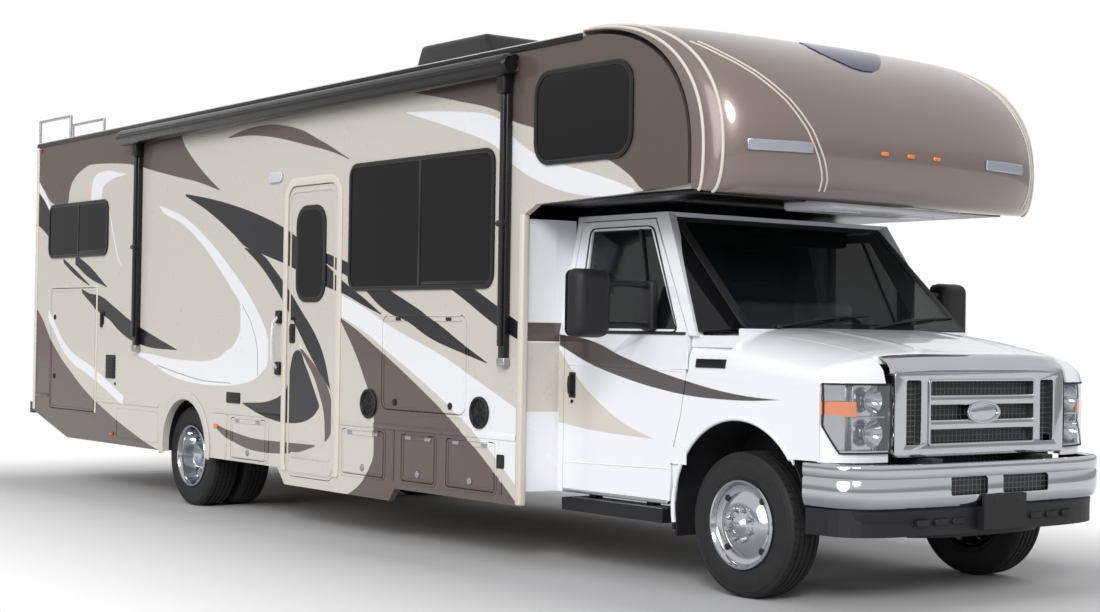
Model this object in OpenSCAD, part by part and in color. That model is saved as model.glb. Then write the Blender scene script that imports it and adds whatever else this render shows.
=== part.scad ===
// Motorhome on a cutaway van chassis.
// +X is forward, +Y is left, +Z is up; the origin is on the ground under the middle.

/* [Overall] */
// Distance between the front and rear axles
wheelbase = 5730; // [5200:10:6900]
// From the front axle forward to the plate bracket
front_overhang = 885; // [880:5:960]
// From the rear axle back to the ladder
rear_overhang = 3030; // [2900:10:3700]
// Width of the coach body
coach_w = 2514; // [2460:2:3020]
// Height of the roof edge at the rear
eave_rear = 2912; // [2880:2:3060]
// Height of the roof edge over the cab
eave_front = 2970; // [2940:2:3120]

/* [Coach] */
// Thickness of the coach walls
wall_t = 40; // [30:1:50]
// Height of the line where the walls meet the skirts
waist_z = 750; // [740:1:760]
// Height of the skirts above the ground
skirt_z = 384; // [370:1:400]
// Depth of the roof edge
roof_edge = 40; // [30:1:60]
// Rise of the roof's crown
roof_crown = 42; // [20:1:60]
// Thickness of the coach floor
floor_t = 60; // [40:1:80]
// From the front axle back to the front of the coach wall
coach_setback = 1543; // [1500:1:1600]
// Gap all round a lid or a door
lid_gap = 5; // [5:0.5:8]
// Thickness of a locker lid
lid_t = 30; // [20:1:40]
// Clearance of a pane in its frame, or of a piece on its seat
seat_gap = 0.3; // [0.2:0.1:0.6]

/* [Cab over] */
// From the front axle forward to the nose of the cap
cap_reach = 290; // [200:5:340]
// Height of the lower edge of the cap
cap_z = 2030; // [2025:1:2060]
// Thickness of the cap's shell
cap_t = 25; // [15:1:35]

/* [Cab] */
// Width of the cab at its doors
cab_w = 2000; // [1980:2:2040]
// Thickness of the cab's panels
panel_t = 25; // [15:1:30]
// Thickness of a cab door
door_t = 55; // [40:1:70]
// Height of the cab's belt line
belt_z = 1330; // [1310:1:1350]
// Height of the cab's roof
cab_top = 2000; // [1990:1:2010]
// Lean of the cab's sides above the belt line
tumble = 11; // [8:0.5:12]

/* [Wheels] */
// Outer radius of a tyre
tyre_r = 372; // [360:1:380]
// Width of a tyre
tyre_w = 216; // [200:1:230]
// Radius where the tyre meets the rim
rim_r = 216; // [210:1:222]
// From the middle of the vehicle to the middle of a front wheel
front_track_y = 875; // [860:1:890]
// From the coach's side to the middle of an outer rear wheel
wheel_inset = 172; // [160:1:190]
// Between the middles of twin wheels
twin_pitch = 262; // [250:1:275]
// From the middle of the vehicle to a kingpin
kingpin_y = 800; // [790:1:810]

/* [Chassis] */
// From the middle of the vehicle to the middle of a frame rail
rail_y = 430; // [410:1:450]
// Width of a frame rail
rail_w = 80; // [60:1:90]
// Height of a frame rail
rail_h = 180; // [150:1:200]
// Radius of a wheel spindle
spindle_r = 30; // [25:1:34]
// Radial clearance of a spindle in its hub
spindle_fit = 0.05; // [0.02:0.01:0.1]
// Width and height inside the hitch receiver
receiver = 51; // [51:0.5:64]
// Radius of the hitch pin's hole
hitch_pin_r = 8; // [6:0.5:9]

/* [Hidden] */
$fn = 64;

length_all = front_overhang + wheelbase + rear_overhang;
x_front = length_all / 2 - front_overhang;
x_rear = x_front - wheelbase;
function F(x) = x_front + x;
function R(x) = x_rear + x;

ladder_r = 12;
ladder_stand = 100;
x_back = R(ladder_r + ladder_stand - rear_overhang);
x_coach = F(-coach_setback);
half_w = coach_w / 2;
inner_w = half_w - wall_t;
rear_track_y = half_w - wheel_inset;
x_cap = F(-1000);
eave_slope = atan((eave_front - eave_rear) / (x_cap - x_back));
function eave(x) = eave_rear + (x - x_back) * tan(eave_slope);
wall_drop = roof_edge + seat_gap;
hinge_r = 5;
hinge_out = hinge_r + seat_gap;

// The edge of the cab-over's side, as a superellipse quarter about (x_cap, nose_z)
nose_z = 2250;
nose_n = 2.3;
side_reach = x_cap + 895;
function arc_point(cx, cz, a, b, n, t) = [cx + a * pow(cos(t), 2 / n), cz + b * pow(sin(t), 2 / n)];
function nose(inset) = [for (t = [90:-7.5:0])
    arc_point(x_cap, nose_z, side_reach - x_cap - inset, eave_front - nose_z - inset, nose_n, t)];

// Openings in the coach walls: x0, x1, z0, z1, corner radius
windows = [[R(-2608), R(-1428), 1920, 2340, 70],
    [F(-3380), F(-1810), 1600, 2380, 70],
    [F(-1400), F(-580), 2280, 2770, 120]];
entry = [F(-4190), F(-3550), 340, 2290, 90];
entry_pane = [F(-4050), F(-3720), 1540, 2130, 100];
rear_locker = [R(-2558), R(-1638), 630, 1640, 25];
media = [F(-2980), F(-2060), 840, 1420, 60];
step_lid = [F(-3450), F(-2950), 410, 690, 20];
middle_lid = [F(-2740), F(-2380), 410, 690, 20];
front_lid = [F(-2250), F(-1760), 410, 690, 20];
wheel_lid = [R(752), R(1252), 410, 690, 20];
right_holes = [entry, rear_locker, media, step_lid, middle_lid, front_lid, wheel_lid];
left_holes = [rear_locker];
arch_r = 350;
arch_z = 440;
arch_x = R(20);

// Frame
rail_z = tyre_r + 188;
floor_z = rail_z + rail_h;
well_w = 470;
well_h = 2 * tyre_r + 156 - floor_z;
cross_h = 100;
cross_w = 80;
cross_z = rail_z + 40;
crossmembers = [F(-1300), F(-2700), R(1300), R(-750), R(-1800), x_back + 200];
engine = [F(-40), F(560), 270, 480, 1060];
gearbox_x = F(-900);
shaft_r = 42;
axle_r = 55;
exhaust_y = -300;
exhaust_z = rail_z - 55;

// Cab
cab_half = cab_w / 2;
sill_z = 430;
cab_rear = F(-1450);
door_front = F(-400);
cab_floor_z = floor_z;
wheelhouse_x = F(-480);
wheelhouse_y = 560;
wheelhouse_z = 960;
sheet_t = 20;
roof_front = F(-790);
hood_hinge_x = F(-95);
hood_z = 1372;
grille_half = cab_half - 340;
bumper_reach = F(870);
bumper_side = F(450);
bumper_z = 500;
bumper_h = 220;
bumper_t = 55;
function lean(z) = (z - belt_z) * tan(tumble);
function bumper_edge(half, reach, y) = bumper_side + reach * pow(max(0, 1 - pow(abs(y) / half, 4)), 1 / 4);

module round_rect(box, grow = 0) {
    x0 = box[0] - grow;
    x1 = box[1] + grow;
    z0 = box[2] - grow;
    z1 = box[3] + grow;
    r = box[4] + grow;
    translate([x0 + r, z0]) square([x1 - x0 - 2 * r, z1 - z0]);
    translate([x0, z0 + r]) square([x1 - x0, z1 - z0 - 2 * r]);
    for (x = [x0 + r, x1 - r], z = [z0 + r, z1 - r]) translate([x, z]) circle(r);
}

// Extrudes an outline in X and Z inwards from the face at y = side * outer
module side_slab(side, outer, t) {
    translate([0, side > 0 ? outer : t - outer, 0]) rotate([90, 0, 0]) linear_extrude(t) children();
}

module box(x0, x1, y0, y1, z0, z1) {
    translate([x0, y0, z0]) cube([x1 - x0, y1 - y0, z1 - z0]);
}

module mirrored(side) {
    if (side < 0) mirror([0, 1, 0]) children();
    else children();
}

// Spins a profile of radius and distance out from the wheel's middle
module wheel_spin(side, x, y) {
    translate([x, side * y, tyre_r]) rotate([side > 0 ? -90 : 90, 0, 0]) rotate_extrude() children();
}

module chassis_frame() color("dimgray") {
    rail_front = bumper_edge(cab_half - bumper_t, bumper_reach - bumper_side - bumper_t,
        rail_y + rail_w / 2) - seat_gap;
    inside = rail_y - rail_w / 2 - seat_gap;
    for (s = [-1, 1])
        box(x_back + wall_t, rail_front, s * rail_y - rail_w / 2, s * rail_y + rail_w / 2,
            rail_z, rail_z + rail_h);
    for (x = crossmembers)
        box(x - cross_w / 2, x + cross_w / 2, -inside, inside, cross_z, cross_z + cross_h);
    // engine bearer
    box(F(160), F(240), -inside, inside, engine[3] - 50, engine[3]);
    for (s = [-1, 1])
        mirrored(s) box(F(160), F(240), inside - 40, inside, engine[3] - 50, rail_z + rail_h);
}

module front_axle() color("dimgray") {
    for (s = [-1, 1]) {
        translate([x_front, s * kingpin_y, tyre_r - 40]) cylinder(r = 32, h = 80);
        translate([x_front, s * kingpin_y, tyre_r - 115]) cylinder(r = 18, h = 230);
        box(F(-60), F(60), s * rail_y - 45, s * rail_y + 45, tyre_r + 25, rail_z);
    }
    difference() {
        box(F(-25), F(25), -kingpin_y, kingpin_y, tyre_r - 25, tyre_r + 25);
        for (s = [-1, 1]) translate([x_front, s * kingpin_y, tyre_r - 60]) cylinder(r = 20, h = 120);
    }
}

module rear_axle() color("dimgray") {
    stub = rear_track_y - twin_pitch;
    translate([x_rear, -stub + 60, tyre_r]) rotate([-90, 0, 0]) cylinder(r = axle_r, h = 2 * stub - 120);
    translate([x_rear, 0, tyre_r]) sphere(r = 135);
    for (s = [-1, 1]) {
        translate([x_rear, s * (stub - 60), tyre_r]) rotate([s > 0 ? -90 : 90, 0, 0])
            cylinder(r = spindle_r + 10, h = twin_pitch + 80);
        box(R(-620), R(620), s * (rail_y + 95) - 35, s * (rail_y + 95) + 35, 440, 490);
        box(R(-60), R(60), s * (rail_y + 95) - 45, s * (rail_y + 95) + 45, tyre_r, 490);
        for (x = [R(-600), R(600)])
            box(x - 20, x + 20, s * (rail_y + 65) - 25, s * (rail_y + 95) + 25, 480, rail_z + 60);
    }
}

module drive_shaft() color("gray") {
    run = gearbox_x - R(135);
    drop = 135;
    angle = atan(drop / run);
    translate([gearbox_x - 1.5, 0, tyre_r + 15 + drop]) rotate([0, -90 - angle, 0])
        cylinder(r = shaft_r, h = run / cos(angle) - 10);
}

module exhaust() color("silver") {
    pipe_end = x_back + 320;
    translate([pipe_end, exhaust_y, exhaust_z]) rotate([0, 90, 0])
        cylinder(r = 35, h = F(-300) - pipe_end);
    translate([F(-3300), exhaust_y, exhaust_z]) rotate([0, 90, 0]) cylinder(r = 85, h = 520);
    for (x = crossmembers)
        if (x > pipe_end)
            box(x - 12, x + 12, exhaust_y - 12, exhaust_y + 12, exhaust_z, cross_z);
}

module fuel_tank() color("#222428") {
    box(R(1000), R(2100), rail_y + rail_w / 2, 930, 420, 690);
}

module engine_block() color("slategray") {
    box(engine[0], engine[1], -engine[2], engine[2], engine[3], engine[4]);
    box(gearbox_x, engine[0], -150, 150, 430, 610);
}

module knuckle(side) color("dimgray") mirrored(side) {
    difference() {
        union() {
            for (z = [tyre_r - 102, tyre_r + 42])
                box(F(-35), F(35), kingpin_y - 35, kingpin_y + 42, z, z + 60);
            box(F(-35), F(35), kingpin_y + 38, kingpin_y + 52, tyre_r - 102, tyre_r + 102);
        }
        translate([x_front, kingpin_y, 0]) cylinder(r = 18 + spindle_fit, h = 2 * tyre_r);
    }
    translate([x_front, kingpin_y + 52, tyre_r]) rotate([-90, 0, 0])
        cylinder(r = spindle_r, h = front_track_y - kingpin_y - 32);
}

module tyre_profile() {
    h = tyre_w / 2;
    polygon([[rim_r + seat_gap, -h + 18], [rim_r + 30, -h + 4], [rim_r + 75, -h], [tyre_r - 45, -h + 4],
        [tyre_r - 14, -h + 14], [tyre_r - 3, -h + 32], [tyre_r, -h + 60], [tyre_r, h - 60],
        [tyre_r - 3, h - 32], [tyre_r - 14, h - 14], [tyre_r - 45, h - 4], [rim_r + 75, h],
        [rim_r + 30, h - 4], [rim_r + seat_gap, h - 18]]);
}

module front_tyre(side) color("#26262a") wheel_spin(side, x_front, front_track_y) tyre_profile();

module rear_tyres(side) color("#26262a") {
    for (y = [rear_track_y, rear_track_y - twin_pitch]) wheel_spin(side, x_rear, y) tyre_profile();
}

module rim_barrel() {
    h = tyre_w / 2;
    polygon([[rim_r - 14, -h + 18], [rim_r, -h + 18], [rim_r, h - 18], [rim_r + 10, h - 12],
        [rim_r + 10, h - 6], [rim_r - 2, h - 4], [rim_r - 14, h - 18]]);
}

module front_rim(side) color("gainsboro") wheel_spin(side, x_front, front_track_y) {
    rim_barrel();
    translate([spindle_r + spindle_fit, 20]) square([rim_r - spindle_r - 8, 12]);
    translate([spindle_r + spindle_fit, -22]) square([30, 54]);
    polygon([[0, 62], [40, 58], [75, 44], [85, 30], [60, 30], [0, 30]]);
}

module rear_rims(side) color("gainsboro") {
    for (k = [0, 1]) wheel_spin(side, x_rear, rear_track_y - k * twin_pitch) {
        rim_barrel();
        translate([spindle_r + 10 + spindle_fit, k * 40 - 40]) square([rim_r - spindle_r - 18, 14]);
        translate([spindle_r + 10 + spindle_fit, k * 40 - 60]) square([32, 60]);
    }
    wheel_spin(side, x_rear, rear_track_y - twin_pitch)
        translate([spindle_r + 10 + spindle_fit, 12]) square([28, twin_pitch - 60]);
}

module cab_floor() color("#3a3c40") {
    half = cab_half - door_t - 15;
    narrow = cab_half - 120;
    top = cab_floor_z + 30;
    box(x_coach + seat_gap, cab_rear - 40, -narrow, narrow, cab_floor_z, top);
    box(cab_rear - 49, wheelhouse_x, -half, half, cab_floor_z, top);
    box(wheelhouse_x - 1, F(-150), -wheelhouse_y, wheelhouse_y, cab_floor_z, top);
    // firewall, then the wheelhouses and the sills
    box(F(-150) - sheet_t, F(-150), -wheelhouse_y, wheelhouse_y, cab_floor_z, hood_z - 62);
    box(F(-150) - sheet_t, F(-150), -half, half, wheelhouse_z, belt_z - 62 - seat_gap);
    for (s = [-1, 1]) mirrored(s) {
        box(wheelhouse_x, wheelhouse_x + sheet_t, wheelhouse_y, half, cab_floor_z, wheelhouse_z + sheet_t);
        box(wheelhouse_x, F(-150), wheelhouse_y, wheelhouse_y + sheet_t, cab_floor_z, wheelhouse_z + sheet_t);
        box(wheelhouse_x, F(-150), wheelhouse_y, half, wheelhouse_z, wheelhouse_z + sheet_t);
        box(cab_rear, F(-560), half - 60, half, sill_z, cab_floor_z + 1);
    }
}

// A strip of the cab's side above the belt line, leaning inwards
module leaning(side, t, inset = 0) {
    translate([0, side * cab_half, belt_z]) rotate([side * tumble, 0, 0])
        translate([0, -side * cab_half, -belt_z]) side_slab(side, cab_half - inset, t) children();
}

upper_h = (cab_top - belt_z) / cos(tumble);

module cab_shell() color("white") {
    top_half = cab_half - lean(cab_top);
    for (s = [-1, 1]) {
        // front pillar, header rail and rear pillar
        leaning(s, door_t) polygon([[door_front + lid_gap + 3, belt_z - 2], [door_front + 70, belt_z - 2],
            [roof_front + 70, belt_z + upper_h], [cab_rear - 50, belt_z + upper_h],
            [cab_rear - 50, belt_z - 2], [cab_rear - lid_gap, belt_z - 2],
            [cab_rear - lid_gap, belt_z + upper_h - 30], [roof_front - 19, belt_z + upper_h - 30]]);
        side_slab(s, cab_half, door_t) polygon([[cab_rear - 50, sill_z], [cab_rear - lid_gap, sill_z],
            [cab_rear - lid_gap, belt_z], [cab_rear - 50, belt_z]]);
    }
    box(cab_rear - 50, roof_front + 70, -top_half + 10, top_half - 10, cab_top - 24, cab_top);
    difference() {
        box(F(-150), F(-95) - lid_gap, -cab_half + 130, cab_half - 130, hood_z - 62, hood_z - 4);
        box(F(-151), F(-90), -cab_half + 200, cab_half - 200, hood_z - 70, hood_z - 30);
    }
    for (s = [-1, 1])
        mirrored(s) box(door_front + lid_gap + 3, F(-95) - lid_gap, cab_half - 140, cab_half - panel_t - seat_gap,
            belt_z - 62, belt_z);
}

module windshield() color([0.1, 0.12, 0.14, 0.6]) {
    foot = F(-120);
    foot_z = hood_z - 4;
    run = roof_front + 40 - foot;
    glass_t = 10;
    rise = cab_top - 24 - seat_gap - glass_t * 0.75 - foot_z;
    angle = atan2(rise, -run);
    glass_l = norm([run, rise]);
    low = cab_half - 150;
    high = cab_half - lean(cab_top) - 75;
    translate([foot, 0, foot_z + seat_gap]) rotate([0, angle - 180, 0])
        translate([0, 0, -glass_t]) linear_extrude(glass_t) polygon([[0, -low], [glass_l, -high], [glass_l, high], [0, low]]);
}

// The outline of a cab door below the belt line, and above it along the leaning side
door_lower = [[door_front, belt_z], [F(-415), 1100], [F(-455), 900], [F(-520), 700], [F(-530), 450],
    [cab_rear, 450], [cab_rear, belt_z]];
door_upper = [[door_front, belt_z], [cab_rear, belt_z], [cab_rear, belt_z + upper_h - 37],
    [roof_front - 27, belt_z + upper_h - 37]];
door_pane = [[F(-500), belt_z + 30], [cab_rear + 130, belt_z + 30],
    [cab_rear + 100, belt_z + upper_h - 90], [roof_front - 50, belt_z + upper_h - 90]];
door_hinges = [650, 1150];

module cab_door(side) color("white") {
    side_slab(side, cab_half, door_t) polygon(door_lower);
    leaning(side, door_t - 15) difference() {
        polygon(door_upper);
        polygon(door_pane);
    }
    for (z = door_hinges) {
        translate([door_front + lid_gap / 2, side * (cab_half + hinge_out), z]) cylinder(r = hinge_r, h = 90);
        mirrored(side) box(F(-530), door_front + lid_gap / 2, cab_half, cab_half + hinge_r, z, z + 90);
    }
}

module door_glass(side) color([0.08, 0.09, 0.1, 0.7]) {
    leaning(side, 6, 12) polygon([for (k = [0:3]) door_pane[k] + [k == 0 || k == 3 ? -1 : 1, k < 2 ? 1 : -1] * seat_gap]);
}

module mirror_unit(side) color("#1c1c20") mirrored(side) {
    out = cab_half + 300;
    box(F(-745), F(-645), out, out + 250, 1300, 1675);
    for (z = [1345, 1560]) box(F(-720), F(-690), cab_half + hinge_r + 5, out, z, z + 30);
    box(F(-740), F(-670), cab_half, cab_half + hinge_r + 5, 1270, 1320);
    box(F(-735), F(-675), cab_half - lean(1600) + 2, cab_half + hinge_r + 25, 1560, 1600);
    box(F(-720), F(-690), cab_half + hinge_r, cab_half + hinge_r + 25, 1290, 1580);
}

module hood() color("white") {
    half = cab_half - 220;
    difference() {
        union() {
            translate([0, half, 0]) rotate([90, 0, 0]) linear_extrude(2 * half)
                polygon([[hood_hinge_x, hood_z], [F(600), hood_z - 102], [F(650), hood_z - 122],
                    [F(650), hood_z - 147], [F(590), hood_z - 127], [hood_hinge_x, hood_z - panel_t]]);
            for (s = [-1, 1])
                box(F(560), F(640), s * (half - 38) - 38, s * (half - 38) + 38, 1130, 1240);
        }
        box(F(540), F(625), -half + 20, half - 20, 1100, 1215);
    }
    for (s = [-1, 1]) {
        translate([hood_hinge_x - lid_gap / 2, s * 600 - 45, hood_z - 4 + hinge_out]) rotate([-90, 0, 0])
            cylinder(r = hinge_r, h = 90);
        box(hood_hinge_x - lid_gap / 2, hood_hinge_x + 40, s * 600 - 45, s * 600 + 45,
            hood_z - 10, hood_z - 4 + hinge_out + hinge_r);
    }
}

module front_fenders() color("white") {
    half = cab_half - 220 + lid_gap;
    for (s = [-1, 1]) {
        side_slab(s, cab_half, panel_t) difference() {
            polygon([[door_front + lid_gap, belt_z - 110], [F(-410), 1100], [F(-450), 900], [F(-515), 700],
                [F(-525), 450], [F(-440), 450], [F(-440), 500], [F(440), 500],
                [F(440), bumper_z + bumper_h + 6], [F(560), bumper_z + bumper_h + 6], [F(560), 1120],
                [F(500), belt_z - 190]]);
            translate([x_front, 430]) circle(470);
            translate([F(-470), 0]) square([940, 430]);
        }
        mirrored(s) translate([F(-149), 0, 0]) rotate([90, 0, 90]) linear_extrude(629)
                polygon([[cab_half, belt_z - 170], [cab_half - 60, belt_z - 90], [half, belt_z - 70],
                    [half, belt_z - 95], [cab_half - 75, belt_z - 115], [cab_half - panel_t, belt_z - 180]]);
        mirrored(s) box(F(-149), F(560), rail_y + rail_w / 2, cab_half - panel_t + 1, wheelhouse_z, wheelhouse_z + sheet_t);
    }
}

module grille() color("silver") {
    half = grille_half;
    z0 = 744;
    z1 = 1160;
    difference() {
        box(F(672), F(735), -half, half, z0, z1);
        box(F(600), F(800), -half + 130, half - 130, z0 + 50, z1 - 50);
        for (s = [-1, 1]) box(F(600), F(800), s * (half - 75) - 22, s * (half - 75) + 22, z0 + 50, z1 - 50);
    }
    for (z = [855, 960, 1040]) box(F(682), F(728), -half + 125, half - 125, z, z + 38);
    box(F(672), F(765), -half - 30, half + 30, z1, z1 + 80);
    for (s = [-1, 1]) box(F(560), F(690), s * 560 - 20, s * 560 + 20, 800, 840);
}

module headlamps() color("lightgray") {
    for (s = [-1, 1]) mirrored(s) translate([0, 0, 760]) linear_extrude(350)
        polygon([[F(705), grille_half + seat_gap], [F(690), cab_half - 200], [F(640), cab_half - 80],
            [F(560) + seat_gap, cab_half - 2], [F(560) + seat_gap, cab_half - 100], [F(610), cab_half - 180],
            [F(620), grille_half + seat_gap]]);
}

module bumper_outline(half, reach, t) {
    outer = [for (a = [-90:6:90]) [bumper_edge(half, reach, half * sin(a)), half * sin(a)]];
    inner = [for (a = [90:-6:-90]) [bumper_edge(half - t, reach - t, (half - t) * sin(a)),
        (half - t) * sin(a)]];
    polygon(concat(outer, inner));
}

module front_bumper() color("silver") {
    reach = bumper_reach - bumper_side;
    difference() {
        translate([0, 0, bumper_z]) linear_extrude(bumper_h) bumper_outline(cab_half, reach, bumper_t);
        for (y = [-255, 190]) box(F(780), F(900), y - 165, y + 165, bumper_z + 60, bumper_z + 150);
    }
}

module air_dam() color("#1c1c20") {
    difference() {
        union() {
            translate([0, 0, 370]) linear_extrude(bumper_z - 370)
                bumper_outline(cab_half - 25, bumper_reach - bumper_side - 35, 30);
            box(F(840), F(885), -165, 165, 385, bumper_z);
            box(F(871), F(885), -165, 165, 385, 560);
        }
        for (y = [-89, 89], z = [400, 521]) translate([F(800), y, z]) rotate([0, 90, 0])
            cylinder(r = 3.5, h = 100);
    }
}

module running_boards() color("#1c1c20") {
    for (s = [-1, 1]) mirrored(s) {
        box(cab_rear + 20, F(-560), cab_half - 160, cab_half + 20, 330, 400);
        for (x = [F(-1300), F(-800)]) box(x, x + 60, cab_half - 125, cab_half - 75, 400, sill_z);
    }
}

module dashboard() color("#26262a") {
    half = cab_half - 140;
    translate([0, half, 0]) rotate([90, 0, 0]) linear_extrude(2 * half)
        polygon([[F(-170), 1000], [F(-170), 1330], [F(-230), 1345], [F(-480), 1290], [F(-520), 1200],
            [F(-430), 980]]);
    translate([F(-470), 400, 1180]) rotate([0, -65, 0]) cylinder(r = 35, h = 170);
}

module steering_wheel() color("#1c1c20") {
    translate([F(-470), 400, 1180]) rotate([0, -65, 0]) translate([0, 0, 170 + seat_gap]) {
        cylinder(r = 60, h = 40);
        translate([0, 0, 30]) rotate_extrude() translate([185, 0]) circle(r = 15);
        for (a = [0, 120, 240]) rotate([0, 0, a + 90]) translate([0, -15, 22]) cube([180, 30, 14]);
    }
}

module cab_seats() color("#4a4640") {
    for (s = [-1, 1]) {
        y = s * 450;
        box(F(-1350), F(-900), y - 200, y + 200, cab_floor_z + 30, cab_floor_z + 180);
        box(F(-1380), F(-860), y - 240, y + 240, cab_floor_z + 180, cab_floor_z + 320);
        translate([F(-1310), y - 230, cab_floor_z + 260]) rotate([0, -10, 0]) cube([110, 460, 620]);
        translate([F(-1400), y - 120, cab_floor_z + 850]) rotate([0, -8, 0]) cube([90, 240, 190]);
    }
}

module coach_floor() color("tan") {
    step = [entry[0] + 20, entry[1] - 20];
    difference() {
        union() {
            box(x_back + wall_t, x_coach, -inner_w, inner_w, floor_z, floor_z + floor_t);
            for (s = [-1, 1])
                box(R(-well_w - 20), R(well_w + 20), s > 0 ? 660 : -inner_w, s > 0 ? inner_w : -660,
                    floor_z, floor_z + well_h);
            box(step[0] - 20, step[1] + 20, -inner_w, -inner_w + 380, 430, floor_z + 1);
        }
        for (s = [-1, 1])
            box(R(-well_w), R(well_w), s > 0 ? 680 : -inner_w - 1, s > 0 ? inner_w + 1 : -680,
                floor_z - 1, floor_z + well_h - 20);
        box(step[0], step[1], -inner_w - 1, -inner_w + 360, 450, floor_z + floor_t + 1);
    }
}

module skirt_outline() {
    polygon([[x_back, waist_z], [x_back, 590], [R(-2170), skirt_z + 8], [entry[0] - 110, skirt_z],
        [entry[0] - 10, 275], [F(-2880), 270], [F(-2820), 350], [x_coach, 350], [x_coach, waist_z]]);
}

module wall_outline() {
    inset = cap_t + seat_gap;
    polygon(concat([[x_coach, waist_z], [x_back, waist_z], [x_back, eave(x_back) - wall_drop],
        [x_cap - 1, eave(x_cap) - wall_drop]], nose(inset),
        [[side_reach - inset, cap_z + 70], [F(-600), cap_z + 40], [F(-1400), cap_z + 20], [x_coach, cap_z - 50]]));
}

// Holes for windows, doors and lids; z from low to high keeps the skirt apart from the wall
module side_holes(side) {
    for (hole = side < 0 ? right_holes : left_holes) round_rect(hole, lid_gap);
    translate([arch_x, arch_z]) circle(arch_r);
    translate([arch_x - arch_r, 0]) square([2 * arch_r, arch_z]);
}

module coach_wall(side) color("antiquewhite") side_slab(side, half_w, wall_t) difference() {
    wall_outline();
    side_holes(side);
    for (hole = windows) round_rect(hole);
}

module lower_skirts() color("antiquewhite") {
    for (s = [-1, 1]) side_slab(s, half_w, wall_t) difference() {
        skirt_outline();
        side_holes(s);
    }
}

module rear_wall() color("antiquewhite") {
    box(x_back, x_back + wall_t, -inner_w, inner_w, 600, eave(x_back) - wall_drop);
}

module coach_roof() color("white") {
    rise = [for (y = [-10:10]) [y * half_w / 10, roof_crown * (1 - y * y / 100)]];
    translate([x_back, 0, eave(x_back)]) rotate([0, -eave_slope, 0]) rotate([90, 0, 90])
        linear_extrude((x_cap - x_back) / cos(eave_slope) - 1.5)
            polygon(concat([[half_w, -roof_edge], [-half_w, -roof_edge]], rise));
}

// The cap's outline at one station across it, from blend 0 at a side to 1 at the middle
function cap_row(blend, inset) = let (
    reach = (1 - blend) * (side_reach - x_cap) + blend * (F(cap_reach) - x_cap) - inset,
    top = eave_front + blend * roof_crown - inset,
    mid = nose_z + 40 * blend,
    low = cap_z + 40 * (1 - blend),
    curl = 160 * blend)
    concat([for (t = [90:-7.5:0]) arc_point(x_cap, mid, reach, top - mid, nose_n, t)],
        [for (t = [15:15:90]) [x_cap + reach - curl * (1 - cos(t)), mid - (mid - low) * sin(t)]]);
cap_steps = 20;
cap_y = [for (k = [0:cap_steps]) half_w * sin(180 * k / cap_steps - 90)];
cap_rows = [for (y = cap_y) let (b = pow(max(0, 1 - pow(abs(y) / half_w, 3)), 1 / 3), inner = cap_row(b, cap_t))
    concat(cap_row(b, 0), [for (k = [len(inner) - 1:-1:0]) inner[k]])];

module cab_over_cap() color("#7d706c") {
    m = len(cap_rows[0]);
    half = m / 2;
    rows = len(cap_y);
    polyhedron([for (k = [0:rows - 1], p = cap_rows[k]) [p[0], cap_y[k], p[1]]],
        concat([for (k = [0:rows - 2], j = [0:m - 1]) let (a = k * m + j, b = k * m + (j + 1) % m)
            [a, a + m, b + m, b]],
            [for (j = [0:half - 2]) [j, j + 1, m - 2 - j, m - 1 - j]],
            [for (j = [0:half - 2]) let (o = (rows - 1) * m) [o + m - 1 - j, o + m - 2 - j, o + j + 1, o + j]]));
}

module cab_over_floor() color("#26262a") {
    box(x_coach + wall_t, F(-110), -inner_w, inner_w, cap_z + 45, cap_z + 75);
}

module coach_front_wall() color("white") {
    for (s = [-1, 1]) mirrored(s) translate([0, 0, sill_z]) linear_extrude(cap_z - 55 - sill_z)
        polygon([[x_coach + seat_gap, half_w - 2], [cab_rear - 50 - seat_gap, cab_half + 30],
            [cab_rear - 50 - seat_gap, cab_half - 110], [x_coach + seat_gap + 8, cab_half - 110],
            [x_coach + seat_gap, half_w - wall_t]]);
}

module coach_windows() color([0.06, 0.06, 0.08]) {
    for (s = [-1, 1], hole = windows) {
        side_slab(s, half_w, 14) round_rect(hole, -seat_gap);
        side_slab(s, half_w + 7, 7) round_rect(hole, 18);
    }
}

// A lid hinged along its top edge or its front edge
module lid(side, hole, top_hinged) color("antiquewhite") {
    side_slab(side, half_w, lid_t) round_rect(hole);
    if (top_hinged)
        mirrored(side) {
            translate([hole[0] + 60, half_w + hinge_out, hole[3] + lid_gap / 2]) rotate([0, 90, 0])
                cylinder(r = hinge_r, h = hole[1] - hole[0] - 120);
            box(hole[0] + 60, hole[1] - 60, half_w, half_w + hinge_r, hole[3] - 30, hole[3] + lid_gap / 2);
        }
    else
        mirrored(side) {
            translate([hole[1] + lid_gap / 2, half_w + hinge_out, hole[2] + 60])
                cylinder(r = hinge_r, h = hole[3] - hole[2] - 160);
            box(hole[1] - 20, hole[1] + lid_gap / 2, half_w, half_w + hinge_r, hole[2] + 60, hole[3] - 100);
        }
}

module entry_door() color("antiquewhite") difference() {
    lid(-1, entry, false);
    side_slab(-1, half_w + 20, wall_t + 60) round_rect(entry_pane);
}

module entry_door_glass() color([0.06, 0.06, 0.08]) {
    side_slab(-1, half_w, 12) round_rect(entry_pane, -seat_gap);
    side_slab(-1, half_w + 7, 7) round_rect(entry_pane, 18);
}

module awning() color("#1c1c20") {
    r = 75;
    x0 = R(-1020);
    x1 = F(-1560);
    y = -half_w - r - 8;
    translate([x0, y, eave(x0) - 70]) rotate([0, 90 - eave_slope, 0])
        cylinder(r = r, h = (x1 - x0) / cos(eave_slope));
    for (x = [x0 + 170, x1 - 140]) {
        box(x, x + 80, -half_w - 75, -half_w - seat_gap, 1170, eave(x) - 80);
        box(x - 10, x + 90, -half_w - 110, -half_w - seat_gap, eave(x) - 230, eave(x) - 60);
    }
}

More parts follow.
